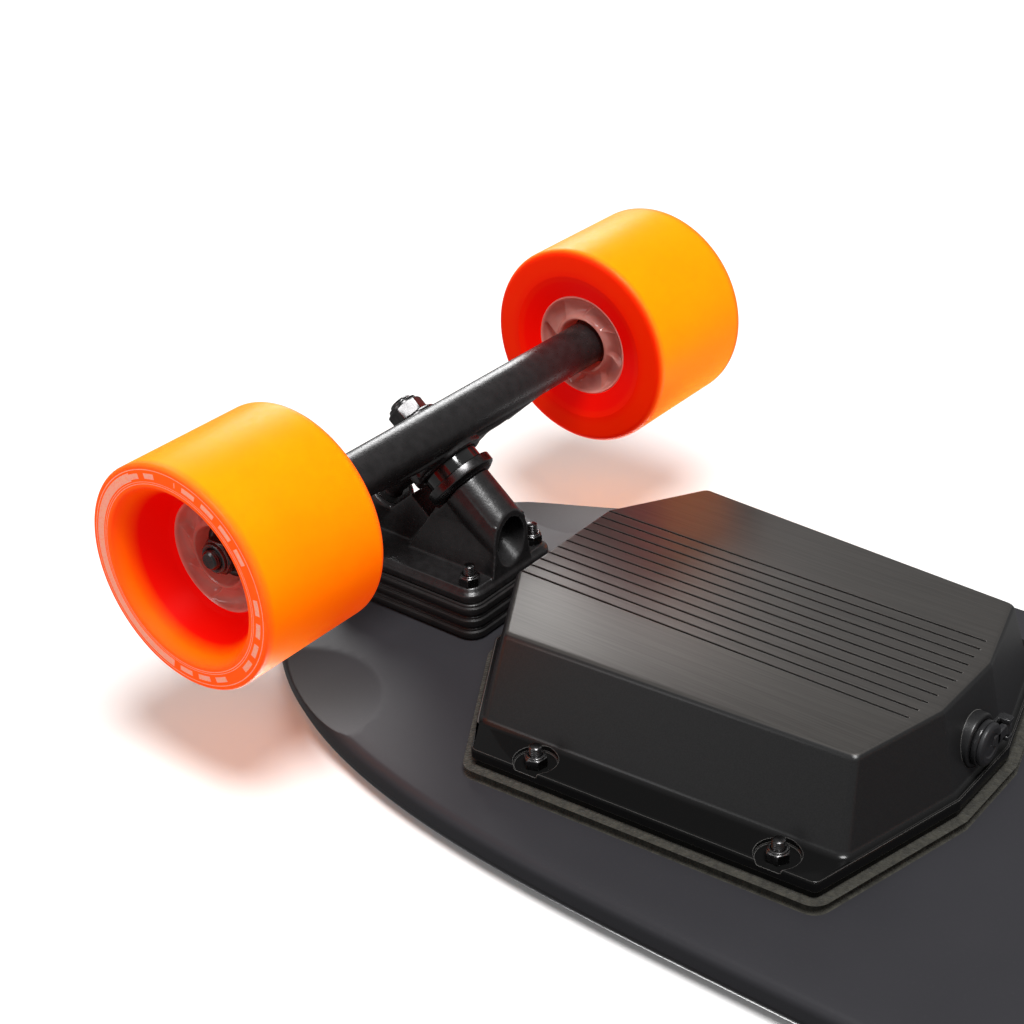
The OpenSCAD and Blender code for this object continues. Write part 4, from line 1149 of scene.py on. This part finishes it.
def enclosure(reach, nuts):
    """Sloping walls on a stepped flange, hollow inside, with grooves and recesses cut in."""
    low, flange, soft = ENCLOSURE_LOW, FLANGE_LOW, 2.0
    depth = flange - low
    levels = []
    for k in range(7):
        a = math.pi / 2 * k / 6
        z = low + soft * (1 - math.cos(a))
        levels.append((shell_outline((z - low) / depth, -soft * (1 - math.sin(a)), reach), z))
    for k in range(6):
        a = math.pi / 2 * k / 5
        z = flange - 2 + 2 * math.sin(a)
        levels.append((shell_outline((z - low) / depth, 2 * (1 - math.cos(a)), reach, 5), z))
    for extra, z in LEDGE:
        levels.append((fillet(plan(*[f + extra for f in LIP], reach), CORNER, 6), flange + z))
    for share, extra, z in ((1, -WALL, GASKET_LOW), (0.1, -WALL, low + WALL + 1),
                            (0.05, -WALL - 1, low + WALL)):
        levels.append((shell_outline(share, extra, reach), z))
    mesh = mesh_of(loft(levels))
    tools = Shape()
    for i in range(GROOVES):
        off = i - (GROOVES - 1) / 2
        near, far = NOSE_E - 10, reach - GROOVE_END - abs(off) * 0.6
        place = (-(near + far) / 2, off * GROOVE_PITCH)
        groove = rounded_box(far - near, GROOVE_W, GROOVE_W * 0.48, *place, 3)
        tools.add(loft([(groove, low - 2), (groove, low + GROOVE_DEPTH)]))
    mesh = carved(mesh, tools)
    recess = Shape()
    for e, y in nuts:
        for side in (-1, 1):
            levels = [(RECESS_R, flange - 2.6), (RECESS_R, flange + 1.6), (RECESS_R - 0.4, flange + 2)]
            recess.add(turned(levels, 72), moved(-e, side * y, 0))
    return carved(mesh, recess)


def port_frame(e):
    """Local Z points inboard from an enclosure's inboard end, and local X points up."""
    return moved(-e, 0, PORT_Z) @ spun(-math.pi / 2, "Y")


def resampled(outline, n):
    total, lengths = 0, [0]
    loop = outline + [outline[0]]
    for a, b in zip(loop, loop[1:]):
        total += (b - a).length
        lengths.append(total)
    out, k = [], 0
    for i in range(n):
        goal = total * i / n
        while lengths[k + 1] < goal:
            k += 1
        out.append(loop[k].lerp(loop[k + 1], (goal - lengths[k]) / max(1e-9, lengths[k + 1] - lengths[k])))
    return out


def gasket(reach):
    """A bead of coarse foam, squeezed out a little past the flange."""
    low, high = GASKET_LOW, UNDERSIDE
    n = 620
    outer = resampled(fillet(plan(*[f + 1.2 for f in LIP], reach), 5, 8), n)
    inner = resampled(fillet(plan(*[f - WALL for f in FOOT], reach), CORNER, 8), n)
    rings = [[(p.x, p.y, low) for p in inner]]
    steps = 10
    for k in range(steps + 1):
        a = math.pi * k / steps
        ring = []
        for i, p in enumerate(outer):
            away = (outer[(i + 1) % n] - outer[i - 1]).normalized()
            away = Vector((away.y, -away.x))
            z = (low + high) / 2 - (high - low) / 2 * math.cos(a)
            rough = noise.noise(Vector((p.x / 3.1, p.y / 3.1, z / 2.2))) * 0.55
            rough += noise.noise(Vector((p.x / 1.1, p.y / 1.1, z / 1.0 + 40))) * 0.25
            q = p + away * (-2.2 + 2.4 * math.sin(a) + rough * math.sin(a))
            ring.append((q.x, q.y, z))
        rings.append(ring)
    rings.append([(p.x, p.y, high) for p in inner])
    return Shape().rings(rings, loop=True)


def build_enclosures():
    ends = {"front": ("battery", span("battery_enclosure")[0].x),
            "rear": ("controller", -span("controller_enclosure")[1].x)}
    for end, (name, inboard) in ends.items():
        where = ENDS[end]
        reach = AXLE.x - inboard - LIP[2]
        port = port_frame(reach)
        shell = enclosure(reach, NUTS[end])
        boss = Shape().add(lathe([(7.6, -14), (10.5, -14), (10.5, 6.6), (7.6, 6.6)], 0.9, 72), port)
        shell = carved(shell, Shape().add(turned([(7.6, -14), (7.6, 10)], 64), port))
        shell = carved(shell, boss, "UNION")
        piece(f"{name}_shell", shell, where, "board", "enclosure_black", f"{name}_enclosure",
              ["enclosure_black", "enclosure_black"], 24)
        piece(f"{name}_foam_gasket", gasket(reach), where, "board", "gasket_foam", f"{name}_gasket",
              crease=60)


def build_port():
    """Charging socket with a flanged ring and two hinge lugs, and the hinged rubber cap over it."""
    where = FRONT @ port_frame(AXLE.x - span("charge_port")[1].x + 16)
    hinge_y = joint("charge_cap_flip")["pos_m"][1] / MM
    hinge = moved(0, hinge_y, 3.15) @ spun(math.pi / 2, "Y")
    ring = lathe([(6, -12), (PORT_R, -16), (PORT_R, 0), (8.6, 0), (8.6, 2), (6, 2)],
                 [0.2, 0.2, 0.1, 0.3, 0.6, 0.5], 72)
    ring.add(turned([(1.2, -14), (1.2, -2.4), (0.8, -2)], 24, 1))
    ring.add(turned([(7, -13.9), (7, -12)], 48))
    arm = rounded_box(8.6, 8.2, 1.2, 0, 11)
    ring.add(loft([(arm, 0.05), (arm, 0.9), (rounded_box(8.2, 7.8, 1.1, 0, 11), 1.1)]))
    for x in (-3.6, 3.6):
        lug = rounded_box(1.8, 4.0, 0.4, x, hinge_y)
        ring.add(loft([(lug, 0.9), (lug, 4.4), (rounded_box(1.4, 3.2, 0.3, x, hinge_y), 5.1)]))
    ring.add(Shape().add(turned([(1, -4.4), (1, 4.4)], 24, 1), hinge))
    piece("charge_socket", ring, where, "board", "port_plastic", "charge_port", ["port_plastic", "steel"])
    lid = lathe([(0.3, 0.4), (4.6, 0.4), (4.6, 2.05), (8.2, 2.05), (8.2, 3.6), (6.6, 4.25), (4.8, 4.25),
                 (4.4, 3.8), (0.3, 3.8)], [0.1, 0.3, 0.1, 0.3, 0.8, 0.8, 0.3, 0.3, 0.1], 72)
    strap = rounded_box(4.6, 10.5, 1.0, 0, 7.2)
    lid.add(loft([(strap, 2.1), (strap, 3.9), (rounded_box(4.0, 9.9, 0.9, 0, 7.2), 4.25)]))
    lid.add(lathe([(1.06, -2.4), (1.9, -2.4), (1.9, 2.4), (1.06, 2.4)], 0.25, 32), hinge)
    piece("charge_lid", lid, where, "charge_cap", "cap_rubber", "charge_cap")


def build_button():
    """Metal bezel and a flat-topped push button with a round edge and a ring mark."""
    front = span("power_bezel")[1].x
    where = REAR @ port_frame(AXLE.x + front - 1.6)
    bezel = lathe([(6.1, -16), (PORT_R, -16), (PORT_R, 0), (9, 0), (9, 0.8), (8.2, 1.6), (6.1, 1.6)],
                  [0.2, 0.2, 0.1, 0.2, 0.3, 0.4, 0.3], 72)
    piece("button_bezel", bezel, where, "board", "bezel_metal", "power_bezel")
    top = span("power_button")[1].x - front + 1.6
    button = turned([(6, -11), (6, top - 0.6), (5.8, top - 0.2), (5.3, top), (3.3, top), (3.2, top - 0.3),
                     (2.6, top - 0.3), (2.5, top), (0.4, top)], 64, [0, 0, 0, 0, 1, 1, 1, 0, 0])
    piece("button_cap", button, where, "power_button", "port_plastic", "power_button",
          ["port_plastic", "steel"])


# Stage, light and camera

def one_sided(name, colour, glow):
    """Seen only from its front, so that a floor never hides the board from the other side."""
    s = Surface(name)
    shade = s.mix(s.spread(s.noise(3, 4), 0.3, 0.7), tuple(0.985 * c for c in colour), colour)
    s.set(Base_Color=shade, Roughness=0.9, Specular_IOR_Level=0.1)
    s.set(Emission_Color=colour, Emission_Strength=glow)
    clear = s.add("ShaderNodeBsdfTransparent")
    back = s.add("ShaderNodeNewGeometry").outputs["Backfacing"]
    mixed = s.add("ShaderNodeMixShader", {0: back, 1: s.bsdf.outputs[0], 2: clear.outputs[0]})
    s.links.new(mixed.outputs[0], s.nodes["Material Output"].inputs["Surface"])
    return s.material


def floor(name, height, facing, glow):
    """A wide sheet facing up or down."""
    size = 6
    mesh = bpy.data.meshes.new(name)
    corners = [(-size, -size, height), (size, -size, height), (size, size, height), (-size, size, height)]
    mesh.from_pydata(corners, [], [(0, 1, 2, 3) if facing > 0 else (3, 2, 1, 0)])
    mesh.materials.append(one_sided(name, (0.93, 0.925, 0.92), glow))
    obj = bpy.data.objects.new(name, mesh)
    bpy.context.scene.collection.objects.link(obj)
    for ray in ("shadow", "diffuse", "glossy", "transmission"):
        setattr(obj, f"visible_{ray}", False)


def light(name, place, target, size, power):
    data = bpy.data.lights.new(name, "AREA")
    data.shape = "DISK"
    data.size = size
    data.energy = power
    obj = bpy.data.objects.new(name, data)
    bpy.context.scene.collection.objects.link(obj)
    obj.location = place
    obj.rotation_mode = "QUATERNION"
    obj.rotation_quaternion = (Vector(target) - Vector(place)).to_track_quat("-Z", "Y")


def build_light():
    """A white room that lights the board faintly, soft lamps below for the photo's side, and two above."""
    world = bpy.data.worlds.new("studio")
    bpy.context.scene.world = world
    world.use_nodes = True
    nodes, links = world.node_tree.nodes, world.node_tree.links
    room, seen = nodes["Background"], nodes.new("ShaderNodeBackground")
    for node, strength in ((room, 0.24), (seen, 1.0)):
        node.inputs["Color"].default_value = (1, 1, 1, 1)
        node.inputs["Strength"].default_value = strength
    path = nodes.new("ShaderNodeLightPath")
    mix = nodes.new("ShaderNodeMixShader")
    links.new(path.outputs["Is Camera Ray"], mix.inputs[0])
    links.new(room.outputs[0], mix.inputs[1])
    links.new(seen.outputs[0], mix.inputs[2])
    links.new(mix.outputs[0], nodes["World Output"].inputs["Surface"])
    nose = AXLE * MM
    behind = nose + Vector((-0.1, 0, 0))
    light("key_below", nose + Vector((-0.77, -0.46, -2.2)), behind, 1.0, 63)
    light("side_below", nose + Vector((0.45, -1.2, -0.6)), behind, 0.5, 1.8)
    light("rim_below", nose + Vector((0.9, 0.9, -0.5)), nose, 0.6, 8)
    light("key_above", (0.6, 0.5, 2.0), (0, 0, 0.05), 1.2, 50)
    light("fill_above", (-1.2, 1.0, 1.3), (0, 0, 0.05), 1.0, 18)


def build_camera():
    """Looks up at the nose from below, with the board's wheels towards the top of the picture."""
    azimuth, elevation, roll = math.radians(-39.83), math.radians(-29.45), math.radians(-2.53)
    aim = AXLE + Vector((-68, -43.2, 0))
    distance, lens = 718.6, 67.3
    back = Vector((math.sin(azimuth) * math.cos(elevation), -math.cos(azimuth) * math.cos(elevation),
                   math.sin(elevation)))
    right = Vector((0, 0, -1)).cross(back).normalized()
    up = back.cross(right)
    right, up = (right * math.cos(roll) + up * math.sin(roll), up * math.cos(roll) - right * math.sin(roll))
    camera = bpy.data.objects.new("camera", bpy.data.cameras.new("camera"))
    bpy.context.scene.collection.objects.link(camera)
    camera.data.lens = lens
    camera.data.clip_start = 0.01
    turn = Matrix((right, up, back)).transposed().to_4x4()
    camera.matrix_world = Matrix.Translation((aim + back * distance) * MM) @ turn
    bpy.context.scene.camera = camera


def paint_cad_nodes():
    """Every CAD node gets the procedural material of its slot."""
    for part in frame["record"]["subparts"]:
        obj = frame["nodes"][part["node"]]
        obj.data.materials.clear()
        obj.data.materials.append(MATERIALS[part["material_slot"]])


paint_cad_nodes()
build_deck()
build_grip()
build_trucks()
build_kingpins()
build_front_wheels()
build_motors()
build_motor_leads()
build_fasteners()
build_enclosures()
build_port()
build_button()
floor("floor_up", 0.0, 1, 0.5)
floor("floor_down", span("grip_tape")[1].z * MM + 0.0005, -1, 0.03)
build_light()
build_camera()
bpy.context.scene.view_settings.view_transform = "Standard"
